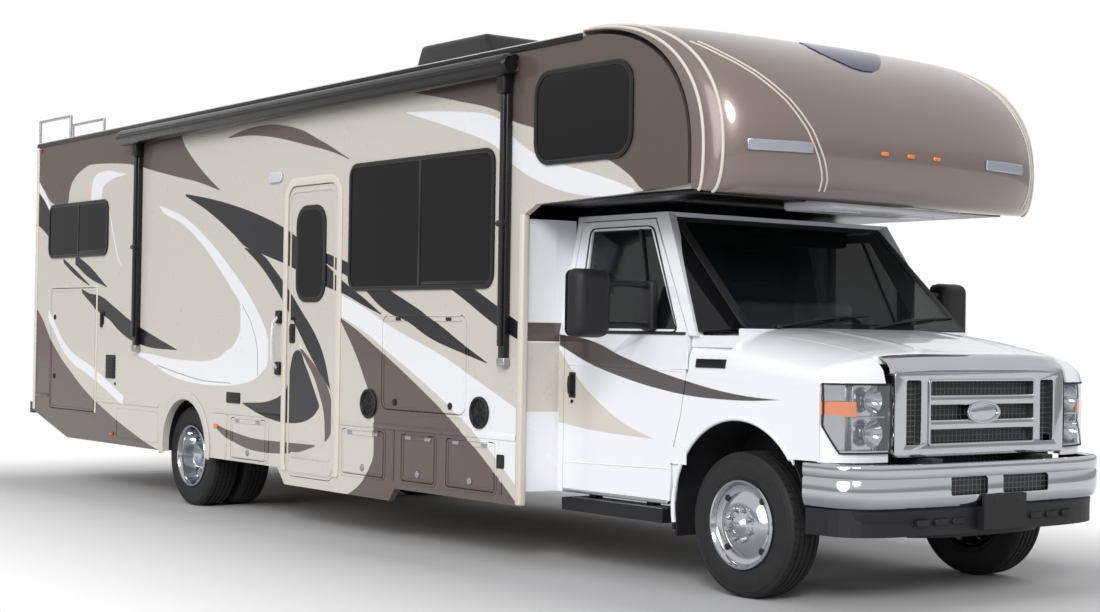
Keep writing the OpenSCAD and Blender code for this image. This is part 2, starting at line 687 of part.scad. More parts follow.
module roof_air_conditioner() color("#1e2838") {
    x = F(-4100);
    translate([x, 0, eave(x) + roof_crown + seat_gap]) rotate([0, -eave_slope, 0])
        translate([0, 360, 0]) rotate([90, 0, 0]) linear_extrude(720)
            polygon([[0, 0], [980, 0], [1020, 260], [900, 340], [200, 350], [10, 260]]);
}

module ladder() color("#26262a") {
    x = x_back - ladder_stand;
    hoop_x = R(-2350);
    top = eave(x_back) + 200;
    for (y = [-1200, -900]) {
        translate([x, y, 680]) cylinder(r = ladder_r, h = top - 680);
        translate([x, y, top]) sphere(ladder_r + 1);
        translate([x, y, top]) rotate([0, 90, 0]) cylinder(r = ladder_r, h = hoop_x - x);
        translate([hoop_x, y, top]) sphere(ladder_r + 1);
        translate([hoop_x, y, eave(hoop_x) + 6 + roof_crown * (1 - y * y / half_w / half_w)])
            cylinder(r = ladder_r, h = 190 - roof_crown * (1 - y * y / half_w / half_w));
        for (z = [760, 1750, 2750]) translate([x, y, z]) rotate([0, 90, 0]) cylinder(r = 9, h = ladder_stand);
    }
    for (k = [0:6]) translate([x, -1200, 740 + k * 320]) rotate([-90, 0, 0]) cylinder(r = ladder_r, h = 300);
}

module rear_bumper() color("#1c1c20") {
    difference() {
        union() {
            box(x_back - 90, x_back - 5, -half_w + 8, half_w - 8, 565, 660);
            box(x_back - 60, x_back + 500, -40, 40, 455, 535);
            box(x_back + 130, x_back + 270, -rail_y - 40, rail_y + 40, 535, rail_z);
        }
        box(x_back - 61, x_back + 240, -receiver / 2, receiver / 2, 495 - receiver / 2, 495 + receiver / 2);
        translate([x_back - 10, -60, 495]) rotate([-90, 0, 0]) cylinder(r = hitch_pin_r, h = 120);
    }
    for (s = [-1, 1]) box(x_back - 20, x_back + wall_t, s * rail_y - 38, s * rail_y + 38, 570, 598);
}

chassis_frame();
front_axle();
rear_axle();
drive_shaft();
exhaust();
fuel_tank();
engine_block();
knuckle(1);  // knuckle_left
knuckle(-1);  // knuckle_right
front_tyre(1);  // front_tyre_left
front_tyre(-1);  // front_tyre_right
rear_tyres(1);  // rear_tyres_left
rear_tyres(-1);  // rear_tyres_right
front_rim(1);  // front_rim_left
front_rim(-1);  // front_rim_right
rear_rims(1);  // rear_rims_left
rear_rims(-1);  // rear_rims_right
cab_floor();
cab_shell();
hood();
front_fenders();
grille();
headlamps();
front_bumper();
air_dam();
windshield();
cab_door(1);  // cab_door_left
cab_door(-1);  // cab_door_right
door_glass(1);  // door_glass_left
door_glass(-1);  // door_glass_right
mirror_unit(1);  // mirror_left
mirror_unit(-1);  // mirror_right
running_boards();
dashboard();
steering_wheel();
cab_seats();
coach_floor();
coach_wall(1);  // coach_wall_left
coach_wall(-1);  // coach_wall_right
lower_skirts();
rear_wall();
coach_roof();
cab_over_cap();
cab_over_floor();
coach_front_wall();
coach_windows();
entry_door();
entry_door_glass();
lid(-1, rear_locker, false);  // rear_locker_right
lid(-1, media, true);  // media_locker
lid(-1, step_lid, true);  // step_hatch
lid(-1, middle_lid, true);  // middle_hatch
lid(-1, front_lid, true);  // front_hatch
lid(-1, wheel_lid, true);  // wheel_hatch
lid(1, rear_locker, false);  // rear_locker_left
awning();
roof_air_conditioner();
ladder();
rear_bumper();
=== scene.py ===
import math
import bpy
from mathutils import Matrix, Vector


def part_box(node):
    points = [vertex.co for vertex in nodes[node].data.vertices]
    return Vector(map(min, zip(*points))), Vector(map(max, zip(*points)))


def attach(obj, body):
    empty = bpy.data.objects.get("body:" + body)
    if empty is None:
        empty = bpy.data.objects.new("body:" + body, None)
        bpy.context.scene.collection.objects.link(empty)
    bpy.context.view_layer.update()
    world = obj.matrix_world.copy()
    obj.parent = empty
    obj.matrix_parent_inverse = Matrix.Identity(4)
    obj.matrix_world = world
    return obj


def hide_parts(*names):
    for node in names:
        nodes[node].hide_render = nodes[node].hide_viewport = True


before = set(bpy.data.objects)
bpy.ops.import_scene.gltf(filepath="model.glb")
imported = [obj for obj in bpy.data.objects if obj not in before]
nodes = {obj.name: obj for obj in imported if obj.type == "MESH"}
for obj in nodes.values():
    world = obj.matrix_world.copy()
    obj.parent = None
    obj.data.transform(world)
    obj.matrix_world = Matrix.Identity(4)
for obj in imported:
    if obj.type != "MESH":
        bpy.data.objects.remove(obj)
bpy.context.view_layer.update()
frontX = 3.9375  # middle of the front axle; side positions are counted from it
halfWidth = 1.257
cabHalf = 1.0
tyreRadius = 0.372
wheelbase = 5.73
wallY = 1.2565  # the coach side's face, where its trims begin


def rowX(behind):  # x of a place counted from the front axle, minus behind it
    return frontX + behind


def linear(r, g, b):
    return tuple(c / 255 / 12.92 if c <= 10.3 else ((c / 255 + 0.055) / 1.055) ** 2.4 for c in (r, g, b)) + (1.0,)


paints = {
    "beige": linear(199, 195, 186), "white": linear(230, 231, 235), "brown": linear(90, 79, 74),
    "black": linear(27, 25, 29), "grey": linear(150, 148, 146), "cream": linear(212, 206, 194),
    "cap": linear(121, 106, 100), "cab": linear(233, 235, 240),
}

cameraSet = {"place": (10.7625, -7.444, 1.331), "yaw": 142.572, "pitch": 0.834, "roll": 0.885, "lens": 60.19}


def addCamera():
    yaw, pitch, roll = (math.radians(cameraSet[k]) for k in ("yaw", "pitch", "roll"))
    ahead = Vector((math.cos(yaw) * math.cos(pitch), math.sin(yaw) * math.cos(pitch), math.sin(pitch)))
    right = ahead.cross(Vector((0, 0, 1))).normalized()
    up = right.cross(ahead)
    side = right * math.cos(roll) + up * math.sin(roll)
    top = up * math.cos(roll) - right * math.sin(roll)
    bpy.ops.object.camera_add()
    camera = bpy.context.object
    turn = Matrix((side, top, -ahead)).transposed().to_4x4()
    camera.matrix_world = Matrix.Translation(cameraSet["place"]) @ turn
    camera.data.lens = cameraSet["lens"]
    camera.data.sensor_width = 36
    camera.data.clip_end = 200
    bpy.context.scene.camera = camera


addCamera()
print("camera set")


class Val:  # a shader value that takes part in Python sums
    def __init__(self, tree, out):
        self.tree, self.out = tree, out

    def math(self, kind, *others, clamp=False):
        step = self.tree.nodes.new("ShaderNodeMath")
        step.operation, step.use_clamp = kind, clamp
        for socket, value in zip(step.inputs, (self, *others)):
            join(self.tree, value, socket)
        return Val(self.tree, step.outputs[0])

    def __add__(self, other): return self.math("ADD", other)
    def __sub__(self, other): return self.math("SUBTRACT", other)
    def __rsub__(self, other): return (self * -1).math("ADD", other)
    def __mul__(self, other): return self.math("MULTIPLY", other)
    def size(self): return self.math("ABSOLUTE")
    def held(self): return self.math("ADD", 0.0, clamp=True)
    def above(self, edge, soft=0.003): return ((self - edge) * (1 / soft)).held()
    def below(self, edge, soft=0.003): return ((edge - self) * (1 / soft)).held()
    def larger(self, other): return self.math("MAXIMUM", other)


def join(tree, value, socket):
    if isinstance(value, Val):
        tree.links.new(value.out, socket)
    else:
        socket.default_value = value


class Finish:  # one material and the nodes it is built from
    def __init__(self, name, base=(0.8, 0.8, 0.8, 1), **fixed):
        self.material = bpy.data.materials.new(name)
        self.material.use_nodes = True
        self.tree = self.material.node_tree
        self.shader = self.tree.nodes["Principled BSDF"]
        self.colour = base
        join(self.tree, base, self.shader.inputs["Base Color"])
        for key, value in fixed.items():
            self.shader.inputs[key.replace("_", " ")].default_value = value
        self.place = self.node("ShaderNodeTexCoord", {}, {}, "Object")
        apart = self.node("ShaderNodeSeparateXYZ", {}, {0: self.place}, None)
        self.x, self.y, self.z = (Val(self.tree, out) for out in apart.outputs)

    def node(self, kind, settings, inputs, output=0):
        made = self.tree.nodes.new(kind)
        points = settings.pop("points", None)
        for key, value in settings.items():
            setattr(made, key, value)
        if points:
            line = made.mapping.curves[0]
            while len(line.points) < len(points):
                line.points.new(0.5, 0.5)
            for spot, place in zip(line.points, points):
                spot.location = place
                spot.handle_type = "AUTO_CLAMPED"
            made.mapping.update()
        for key, value in inputs.items():
            join(self.tree, value, made.inputs[key])
        return made if output is None else Val(self.tree, made.outputs[output])

    def blend(self, mask, a, b):
        return self.node("ShaderNodeMix", {"data_type": "RGBA"}, {0: mask, 6: a, 7: b}, 2)

    def noise(self, scale, detail=3.0):
        settings = {"Vector": self.place, "Scale": scale, "Detail": detail, "Roughness": 0.55}
        return self.node("ShaderNodeTexNoise", {}, settings)

    def paint(self, mask, colour):
        self.colour = self.blend(mask, self.colour, colour)

    def bump(self, height, depth, strength=1.0):
        out = self.node("ShaderNodeBump", {}, {"Height": height, "Distance": depth, "Strength": strength})
        join(self.tree, out, self.shader.inputs["Normal"])

    def feed(self, **sockets):
        for key, value in sockets.items():
            join(self.tree, value, self.shader.inputs[key.replace("_", " ")])

    def close(self, spread=0.06, scale=1.3):  # gentle unevenness over the whole colour
        cloud = self.noise(scale, 4.0)
        shade = self.blend(cloud, (1 - spread,) * 3 + (1,), (1 + spread / 2,) * 3 + (1,))
        dim = self.node("ShaderNodeMix", {"data_type": "RGBA", "blend_type": "MULTIPLY"},
                        {0: 1.0, 6: self.colour, 7: shade}, 2)
        join(self.tree, dim, self.shader.inputs["Base Color"])
        return self.material

    def strip(self, u, v, low, high, soft=0.004):  # mask between two smooth lines given as (u, v) points
        spots = [p for line in (low, high) if isinstance(line, list) for p in line]
        u0, u1 = min(p[0] for p in spots), max(p[0] for p in spots)
        v0, v1 = min(p[1] for p in spots) - 0.02, max(p[1] for p in spots) + 0.02
        part = (u - u0) * (1 / (u1 - u0))
        mask = u.above(u0, soft) * u.below(u1, soft)
        for line, sign in ((low, 1), (high, -1)):
            if isinstance(line, list):
                points = [((a - u0) / (u1 - u0), (b - v0) / (v1 - v0)) for a, b in line]
                level = self.node("ShaderNodeFloatCurve", {"points": points}, {1: part}) * (v1 - v0) + v0
            else:
                level = line
            mask = mask * ((v - level) * (sign / soft)).held()
        return mask


# Every swoosh of the coach side: colour, lower line, upper line, as (x behind the front axle, z)
sideArt = [
    ("white", [(-8.68, 2.55), (-8.5, 2.4), (-8.3, 2.22)],
              [(-8.68, 2.65), (-8.5, 2.49), (-8.3, 2.31)]),
    ("white", [(-7.5, 2.34), (-7.4, 2.34), (-7.3, 2.36), (-7.27, 2.45), (-7.15, 2.5), (-6.8, 2.54)],
              [(-7.5, 2.36), (-7.48, 2.5), (-7.4, 2.57), (-7.2, 2.59), (-6.95, 2.56), (-6.8, 2.545)]),
    ("white", [(-7.15, 2.28), (-7.05, 2.05), (-6.95, 1.86), (-6.88, 1.8)],
              [(-7.15, 2.31), (-7.05, 2.09), (-6.95, 1.89), (-6.88, 1.81)]),
    ("white", [(-6.6, 1.115), (-6.3, 1.05), (-5.9, 0.95), (-5.3, 0.91), (-4.8, 0.94), (-4.5, 1.05), (-4.455, 1.12)],
              [(-6.6, 1.135), (-6.3, 1.12), (-5.9, 1.09), (-5.5, 1.085), (-5.25, 1.105), (-5.0, 1.19),
               (-4.455, 1.26)]),
    ("white", [(-3.5, 1.36), (-3.2, 1.24), (-2.9, 1.1), (-2.6, 0.96), (-2.2, 0.76), (-1.8, 0.52), (-1.56, 0.35)],
              [(-3.5, 1.56), (-3.2, 1.47), (-2.9, 1.36), (-2.3, 1.18), (-1.9, 1.03), (-1.56, 0.9)]),
    ("beige", [(-3.5, 1.36), (-3.2, 1.24), (-2.9, 1.1), (-2.6, 0.96), (-2.2, 0.76), (-1.8, 0.52), (-1.56, 0.35)],
              [(-3.5, 1.42), (-3.2, 1.32), (-2.9, 1.19), (-2.6, 1.06), (-2.2, 0.87), (-1.8, 0.64), (-1.56, 0.47)]),
    ("white", [(-2.75, 2.675), (-2.2, 2.53), (-1.82, 2.41), (-1.62, 2.28), (-1.3, 2.15), (-1.0, 2.08),
               (-0.55, 2.05)],
              [(-2.75, 2.685), (-2.2, 2.64), (-1.82, 2.58), (-1.62, 2.44), (-1.35, 2.31), (-1.0, 2.22),
               (-0.7, 2.14), (-0.55, 2.09)]),
    ("white", [(-8.35, 1.38), (-7.9, 1.05), (-7.4, 0.9), (-6.8, 0.7)],
              [(-8.35, 1.47), (-7.9, 1.14), (-7.4, 0.99), (-6.8, 0.78)]),
    ("grey", [(-6.2, 1.03), (-5.8, 0.975), (-5.4, 0.935), (-5.0, 0.93)],
             [(-6.2, 1.042), (-5.8, 0.987), (-5.4, 0.946), (-5.0, 0.94)]),
    ("brown", [(-8.72, 2.66), (-8.5, 2.5), (-8.25, 2.36), (-8.1, 2.345), (-7.98, 2.36), (-7.95, 2.45),
               (-7.85, 2.56), (-7.7, 2.62), (-7.5, 2.655), (-7.2, 2.645), (-6.75, 2.61), (-6.3, 2.53), (-5.9, 2.46),
               (-5.6, 2.41), (-5.2, 2.32)],
              [(-8.72, 3.1), (-6.2, 3.1), (-5.98, 3.05), (-5.87, 2.82), (-5.8, 2.7), (-5.7, 2.62), (-5.6, 2.55),
               (-5.4, 2.43), (-5.2, 2.325)]),
    ("brown", [(-3.25, 2.93), (-3.1, 2.88), (-2.6, 2.78), (-2.2, 2.7), (-1.8, 2.61), (-1.62, 2.53), (-1.4, 2.47),
               (-1.1, 2.38), (-0.8, 2.27), (-0.6, 2.17), (-0.46, 2.07), (0.2, 1.85)], 3.2),
    ("brown", 0.2, [(-8.72, 1.54), (-8.5, 1.4), (-8.3, 1.22), (-8.1, 1.08), (-7.9, 0.97), (-7.5, 0.78),
                    (-7.1, 0.64), (-6.7, 0.52), (-6.2, 0.4), (-5.9, 0.36)]),
    ("brown", [(-3.5, 1.39), (-3.3, 1.17), (-3.2, 1.03), (-3.1, 0.87), (-3.06, 0.72)],
              [(-3.5, 1.41), (-3.3, 1.335), (-3.2, 1.29), (-3.1, 1.245), (-3.06, 1.225)]),
    ("brown", 0.2, [(-3.07, 1.23), (-3.0, 1.2), (-2.6, 1.01), (-2.2, 0.8), (-1.8, 0.55), (-1.52, 0.35)]),
    ("brown", [(-5.1, 2.695), (-4.8, 2.69), (-4.5, 2.66), (-4.0, 2.57), (-3.6, 2.485), (-3.42, 2.43)],
              [(-5.1, 2.705), (-4.85, 2.74), (-4.6, 2.75), (-4.2, 2.71), (-3.8, 2.59), (-3.42, 2.44)]),
    ("brown", [(-5.25, 0.62), (-5.0, 0.53), (-4.5, 0.47), (-4.1, 0.49), (-3.8, 0.55)],
              [(-5.25, 0.64), (-5.0, 0.6), (-4.5, 0.56), (-3.8, 0.565)]),
    ("black", [(-5.77, 2.31), (-5.4, 2.18), (-5.0, 2.0), (-4.8, 1.9), (-4.5, 1.83), (-4.2, 1.76), (-3.9, 1.67),
               (-3.65, 1.6), (-3.5, 1.57), (-3.2, 1.48), (-3.0, 1.425)],
              [(-5.77, 2.33), (-5.4, 2.28), (-5.0, 2.21), (-4.6, 2.12), (-4.2, 2.0), (-3.9, 1.86), (-3.65, 1.74),
               (-3.5, 1.66), (-3.2, 1.53), (-3.0, 1.435)]),
    ("black", [(-3.72, 1.77), (-3.5, 1.7), (-3.3, 1.63), (-2.92, 1.44), (-2.75, 1.4), (-2.43, 1.28), (-2.1, 1.2),
               (-1.85, 1.145)],
              [(-3.72, 1.84), (-3.5, 1.79), (-3.2, 1.7), (-2.95, 1.6), (-2.54, 1.45), (-2.3, 1.35), (-2.1, 1.26),
               (-1.85, 1.155)]),
    ("black", [(-2.35, 1.63), (-2.1, 1.52), (-1.8, 1.38), (-1.62, 1.31), (-1.5, 1.27)],
              [(-2.35, 1.68), (-2.1, 1.62), (-1.8, 1.5), (-1.62, 1.42), (-1.5, 1.37)]),
    ("black", [(-4.83, 1.895), (-4.6, 1.77), (-4.4, 1.63), (-4.2, 1.46), (-4.07, 1.34), (-3.95, 1.22), (-3.8, 1.08),
               (-3.61, 0.93)],
              [(-4.83, 1.905), (-4.55, 1.84), (-4.4, 1.75), (-4.2, 1.61), (-4.0, 1.45), (-3.8, 1.28), (-3.7, 1.15),
               (-3.61, 0.94)]),
    ("black", [(-4.82, 0.795), (-4.6, 0.74), (-4.2, 0.69), (-4.0, 0.7), (-3.85, 0.74), (-3.75, 0.81)],
              [(-4.82, 0.805), (-4.4, 0.84), (-4.2, 0.92), (-4.1, 1.17), (-4.05, 1.19), (-3.95, 1.1), (-3.85, 0.97),
               (-3.75, 0.83)]),
    ("white", [(-4.02, 1.2), (-3.85, 1.04), (-3.72, 0.88), (-3.66, 0.7)],
              [(-4.02, 1.23), (-3.85, 1.1), (-3.72, 0.98), (-3.66, 0.9)]),
    ("brown", 0.2, [(-3.46, 0.245), (-3.34, 0.288), (-3.2, 0.37), (-3.12, 0.455), (-3.07, 0.54), (-3.05, 0.66)]),
    ("black", [(-8.68, 2.22), (-8.5, 2.15), (-8.36, 2.08)],
              [(-8.68, 2.52), (-8.5, 2.42), (-8.36, 2.31)]),
    ("black", [(-8.05, 1.86), (-7.8, 1.75), (-7.5, 1.655)],
              [(-8.05, 1.9), (-7.8, 1.8), (-7.5, 1.67)]),
    ("black", [(-7.8, 1.84), (-7.5, 1.72), (-7.15, 1.64)],
              [(-7.8, 1.93), (-7.5, 1.82), (-7.15, 1.65)]),
    ("black", [(-7.65, 1.6), (-7.5, 1.53), (-7.3, 1.44), (-7.1, 1.38), (-6.9, 1.29), (-6.68, 1.22), (-6.3, 1.165),
               (-5.87, 1.155)],
              [(-7.65, 1.64), (-7.5, 1.6), (-7.3, 1.58), (-7.0, 1.485), (-6.7, 1.38), (-6.3, 1.27), (-5.87, 1.165)]),
]


def makeCoachSkin():
    skin = Finish("coachSkin", paints["beige"], Specular_IOR_Level=0.35, Coat_Weight=0.2, Coat_Roughness=0.05)
    x, z = skin.x - frontX, skin.z
    skin.paint(skin.y.size().below(halfWidth - 0.06, 0.01), paints["white"])
    for colour, low, high in sideArt[:4]:
        skin.paint(skin.strip(x, z, low, high), paints[colour])
    ring = [(1.115, -4.455), (1.25, -4.46), (1.48, -4.65), (1.74, -5.0), (1.98, -5.4), (2.16, -5.8), (2.26, -6.2)]
    inner = [(1.115, -5.16), (1.2, -4.98), (1.35, -4.87), (1.5, -4.88), (1.6, -5.0), (1.75, -5.2), (1.95, -5.5),
             (2.1, -5.8), (2.24, -6.2), (2.26, -6.21)]
    skin.paint(skin.strip(z, x, inner, ring), paints["white"])
    pin = [(1.0, -4.60), (1.2, -4.62), (1.35, -4.70), (1.5, -4.85)]
    skin.paint(skin.strip(z, x, [(a, b - 0.007) for a, b in pin], [(a, b + 0.007) for a, b in pin]), paints["grey"])
    for colour, low, high in sideArt[4:]:
        skin.paint(skin.strip(x, z, low, high), paints[colour])
    doorLeft = [(0.585, -3.675), (0.65, -3.676), (0.796, -3.699), (0.9, -3.755), (1.007, -3.826), (1.1, -3.92),
                (1.2, -4.03)]
    doorRight = [(0.585, -3.672), (0.64, -3.603), (0.721, -3.566), (0.827, -3.582), (0.945, -3.639), (1.062, -3.774),
                 (1.2, -3.99)]
    skin.paint(skin.strip(z, x, doorLeft, doorRight), paints["brown"])
    skin.feed(Roughness=skin.noise(5, 3) * 0.04 + 0.26)
    skin.bump(skin.noise(22, 2), 0.0003, 0.2)
    return skin.close(0.03, 0.9)


def makeCabPaint():
    cab = Finish("cabPaint", paints["cab"], Coat_Weight=0.7, Coat_Roughness=0.03)
    x, z = cab.x - frontX, cab.z
    outside = cab.y.size().above(0.93, 0.01)
    cab.paint(outside * cab.strip(x, z, [(-1.5, 0.82), (-1.2, 0.79), (-0.9, 0.775), (-0.66, 0.768)],
                                  [(-1.5, 1.24), (-1.35, 1.10), (-1.2, 0.99), (-0.9, 0.84), (-0.66, 0.772)]),
              linear(206, 200, 190))
    cab.paint(outside * cab.strip(x, z, [(-1.05, 1.21), (-0.9, 1.255), (-0.72, 1.33)],
                                  [(-1.05, 1.215), (-0.93, 1.29), (-0.72, 1.40)]), linear(214, 216, 222))
    cab.paint(outside * cab.strip(x, z, [(-1.5, 1.26), (-1.2, 1.155), (-0.9, 1.085), (-0.6, 1.035), (-0.3, 1.005),
                                         (0, 1.0), (0.3, 1.013)],
                                  [(-1.5, 1.325), (-1.25, 1.30), (-0.9, 1.20), (-0.4, 1.09), (0, 1.032),
                                   (0.3, 1.016)]), linear(62, 56, 55))
    cab.feed(Roughness=cab.noise(6, 4) * 0.1 + 0.18)
    cab.bump(cab.noise(210, 2), 0.0003, 0.25)
    return cab.close(0.03, 1.1)


def makeFrontWallPaint():
    wall = Finish("frontWallPaint", paints["cab"], Coat_Weight=0.5, Coat_Roughness=0.05)
    wall.paint(wall.z.above(0.88) * wall.z.below(1.275), linear(206, 200, 190))
    wall.paint(wall.z.above(1.28) * wall.z.below(1.39), paints["brown"])
    wall.feed(Roughness=wall.noise(6, 4) * 0.12 + 0.2)
    wall.bump(wall.noise(160, 2), 0.0004, 0.3)
    return wall.close(0.04)


def makeCapPaint():
    cap = Finish("capPaint", paints["cap"], Metallic=0.35, Coat_Weight=0.8, Coat_Roughness=0.04)
    flake = cap.noise(900, 1)
    cap.paint(flake.above(0.58, 0.1) * 0.25, linear(176, 158, 146))
    x = cap.x - frontX
    side = cap.y.size().above(1.19, 0.01)
    cap.paint(side * cap.strip(x, cap.z, 1.9, [(-1.4, 2.47), (-1.1, 2.38), (-0.8, 2.27), (-0.6, 2.17), (-0.46, 2.07),
                                               (-0.4, 2.0)]), paints["beige"])
    cap.feed(Roughness=cap.noise(5, 4) * 0.12 + 0.24)
    cap.bump(cap.noise(240, 2), 0.0003, 0.25)
    return cap.close(0.06, 1.2)


def makePlain(name, colour, rough, spread=0.08, grain=60, depth=0.0006, scale=2.0, **fixed):
    plain = Finish(name, colour, **fixed)
    plain.feed(Roughness=plain.noise(grain / 6, 3) * 0.16 + (rough - 0.08))
    plain.bump(plain.noise(grain, 3), depth, 0.5)
    return plain.close(spread, scale)


def makeTyre(name, centreX):
    tyre = Finish(name, linear(32, 32, 34), Specular_IOR_Level=0.3)
    across = tyre.y.size()
    x, z = tyre.x - centreX, tyre.z - tyreRadius
    reach = (x * x + z * z).math("SQRT")
    angle = z.math("ARCTAN2", x)
    tread = reach.above(tyreRadius - 0.006, 0.003)
    wave = (angle * 62 + (across * 90).math("SINE") * 0.8).math("SINE")
    shadedSipes = wave.above(0.72, 0.12) * tread
    ribs = (reach * 420).math("SINE").above(0.5, 0.4) * reach.above(0.335) * reach.below(0.352) * 0.5
    # painted shade: the sipes are coloured darker than the rubber, for the shade inside them
    tyre.paint(shadedSipes, linear(18, 18, 19))
    tyre.paint(tyre.noise(9, 4).above(0.5, 0.25) * 0.4, linear(48, 45, 43))
    tyre.feed(Roughness=tyre.noise(30, 3) * 0.2 + 0.55)
    tyre.bump(ribs - shadedSipes + tyre.noise(420, 2) * 0.08, 0.004, 0.8)
    return tyre.close(0.1, 6)


def makeGlass(name, colour, alpha, rough=0.03, shine=0.5):
    glass = Finish(name, colour, Alpha=alpha, IOR=1.5, Specular_IOR_Level=shine)
    glass.feed(Roughness=glass.noise(3, 3) * 0.03 + rough)
    glass.material.surface_render_method = "BLENDED"
    return glass.close(0.1, 0.7)


def makeCloth():
    cloth = Finish("seatCloth", linear(78, 72, 66), Roughness=0.9, Sheen_Weight=0.3)
    warp = (cloth.y * 2400).math("SINE") * (cloth.z * 2400 + cloth.x * 1200).math("SINE")
    cloth.paint(warp.above(0.1, 0.5) * 0.5, linear(104, 97, 89))
    cloth.bump(warp, 0.0008, 0.6)
    return cloth.close(0.12, 5)


def makeMesh():  # black wire mesh behind the grille bars
    wire = Finish("grilleMesh", linear(14, 14, 15), Roughness=0.5)
    rows = ((wire.z * 240).math("SINE")).above(0.75, 0.2)
    columns = ((wire.y * 200).math("SINE")).above(0.75, 0.2)
    wire.paint(rows.larger(columns), linear(92, 94, 98))
    wire.bump(rows.larger(columns), 0.006)
    return wire.close(0.05)


def makeLens(name, colour, ribs=260, alpha=0.72):
    lens = Finish(name, colour, Alpha=alpha, Coat_Weight=1.0, Coat_Roughness=0.02, IOR=1.45)
    lens.feed(Roughness=lens.noise(4, 2) * 0.04 + 0.06)
    lens.bump((lens.y * ribs).math("SINE") * 0.5, 0.0015, 0.5)
    lens.material.surface_render_method = "BLENDED"
    return lens.close(0.06)


mats = {
    "coach": makeCoachSkin(), "cab": makeCabPaint(), "frontWall": makeFrontWallPaint(), "cap": makeCapPaint(),
    "tyreFront": makeTyre("tyreFront", frontX), "tyreRear": makeTyre("tyreRear", frontX - wheelbase),
    "chrome": makePlain("chrome", linear(186, 189, 194), 0.1, 0.08, 40, 0.0002, 3.0, Metallic=1.0),
    "alu": makePlain("alu", linear(176, 178, 182), 0.32, 0.08, 80, 0.0003, 3.0, Metallic=1.0),
    "black": makePlain("blackPlastic", linear(24, 24, 27), 0.5, 0.1, 500, 0.0008, 2.0, Specular_IOR_Level=0.35),
    "satin": makePlain("satinBlack", linear(17, 17, 20), 0.3, 0.08, 120, 0.0003, 2.0, Specular_IOR_Level=0.4),
    "rubber": makePlain("rubber", linear(22, 22, 23), 0.7, 0.1, 200, 0.0005),
    "cream": makePlain("creamTrim", paints["cream"], 0.4, 0.05, 90, 0.0004),
    "beigeTrim": makePlain("beigeTrim", paints["beige"], 0.35, 0.05, 90, 0.0004),
    "whiteTrim": makePlain("whiteTrim", paints["white"], 0.35, 0.04, 90, 0.0004),
    "roof": makePlain("roofMembrane", linear(208, 208, 205), 0.6, 0.06, 60, 0.0015),
    "frame": makePlain("chassisPaint", linear(32, 32, 35), 0.45, 0.15, 60, 0.0012),
    "steel": makePlain("exhaustSteel", linear(140, 134, 126), 0.45, 0.2, 40, 0.0008, 4.0, Metallic=0.9),
    "iron": makePlain("engineIron", linear(76, 78, 82), 0.6, 0.2, 120, 0.003, 6.0, Metallic=0.5),
    "cloth": makeCloth(), "mesh": makeMesh(),
    "dash": makePlain("dashPlastic", linear(54, 53, 54), 0.6, 0.08, 600, 0.001),
    "carpet": makePlain("carpet", linear(62, 60, 60), 0.9, 0.15, 700, 0.003),
    "ply": makePlain("floorBoard", linear(176, 158, 130), 0.5, 0.15, 14, 0.001, 4.0),
    "darkGlass": makeGlass("darkGlass", linear(16, 16, 19), 0.97, 0.05, 0.3),
    "cabGlass": makeGlass("cabGlass", linear(20, 25, 27), 0.6),
    "skyGlass": makeGlass("skyGlass", linear(24, 38, 78), 0.95, 0.08, 0.3),
    "lens": makeLens("lampLens", linear(226, 230, 236)), "amber": makeLens("amberLens", linear(246, 128, 16), 500, 0.9),
    "red": makeLens("redLens", linear(190, 24, 26), 500), "led": makeLens("ledLens", linear(178, 184, 196), 120),
    "lampGlass": makeLens("lampGlass", linear(188, 194, 200), 200, 0.12),
}
print("materials made", len(bpy.data.materials))

nodeFinish = {
    "coach": ["coach_wall_left", "coach_wall_right", "lower_skirts", "rear_wall", "entry_door", "rear_locker_right",
              "media_locker",
              "step_hatch", "middle_hatch", "front_hatch", "wheel_hatch", "rear_locker_left"],
    "cab": ["cab_shell", "cab_door_left", "cab_door_right", "front_fenders", "hood"], "frontWall": ["coach_front_wall"],
    "cap": ["cab_over_cap"], "roof": ["coach_roof"], "ply": ["coach_floor"], "carpet": ["cab_floor"],
    "frame": ["chassis_frame", "front_axle", "rear_axle", "drive_shaft", "knuckle_left", "knuckle_right",
              "rear_bumper"],
    "steel": ["exhaust"], "iron": ["engine_block"], "alu": ["ladder"],
    "black": ["fuel_tank", "air_dam", "running_boards", "mirror_left", "mirror_right", "steering_wheel"],
    "cream": ["cab_over_floor"], "dash": ["dashboard"], "cloth": ["cab_seats"],
    "satin": ["awning", "roof_air_conditioner"],
    "darkGlass": ["coach_windows", "entry_door_glass"],
    "cabGlass": ["windshield", "door_glass_left", "door_glass_right"],
    "chrome": ["grille", "front_bumper", "front_rim_left", "front_rim_right", "rear_rims_left", "rear_rims_right"],
    "lens": ["headlamps"], "tyreFront": ["front_tyre_left", "front_tyre_right"],
    "tyreRear": ["rear_tyres_left", "rear_tyres_right"],
}
for key, names in nodeFinish.items():
    for name in names:
        slots = nodes[name].material_slots
        if slots:
            slots[0].material = mats[key]
        else:
            nodes[name].data.materials.append(mats[key])


def rays(tree):
    path = tree.nodes.new("ShaderNodeLightPath")
    return (Val(tree, path.outputs[key]) for key in ("Is Camera Ray", "Is Glossy Ray", "Is Transmission Ray"))


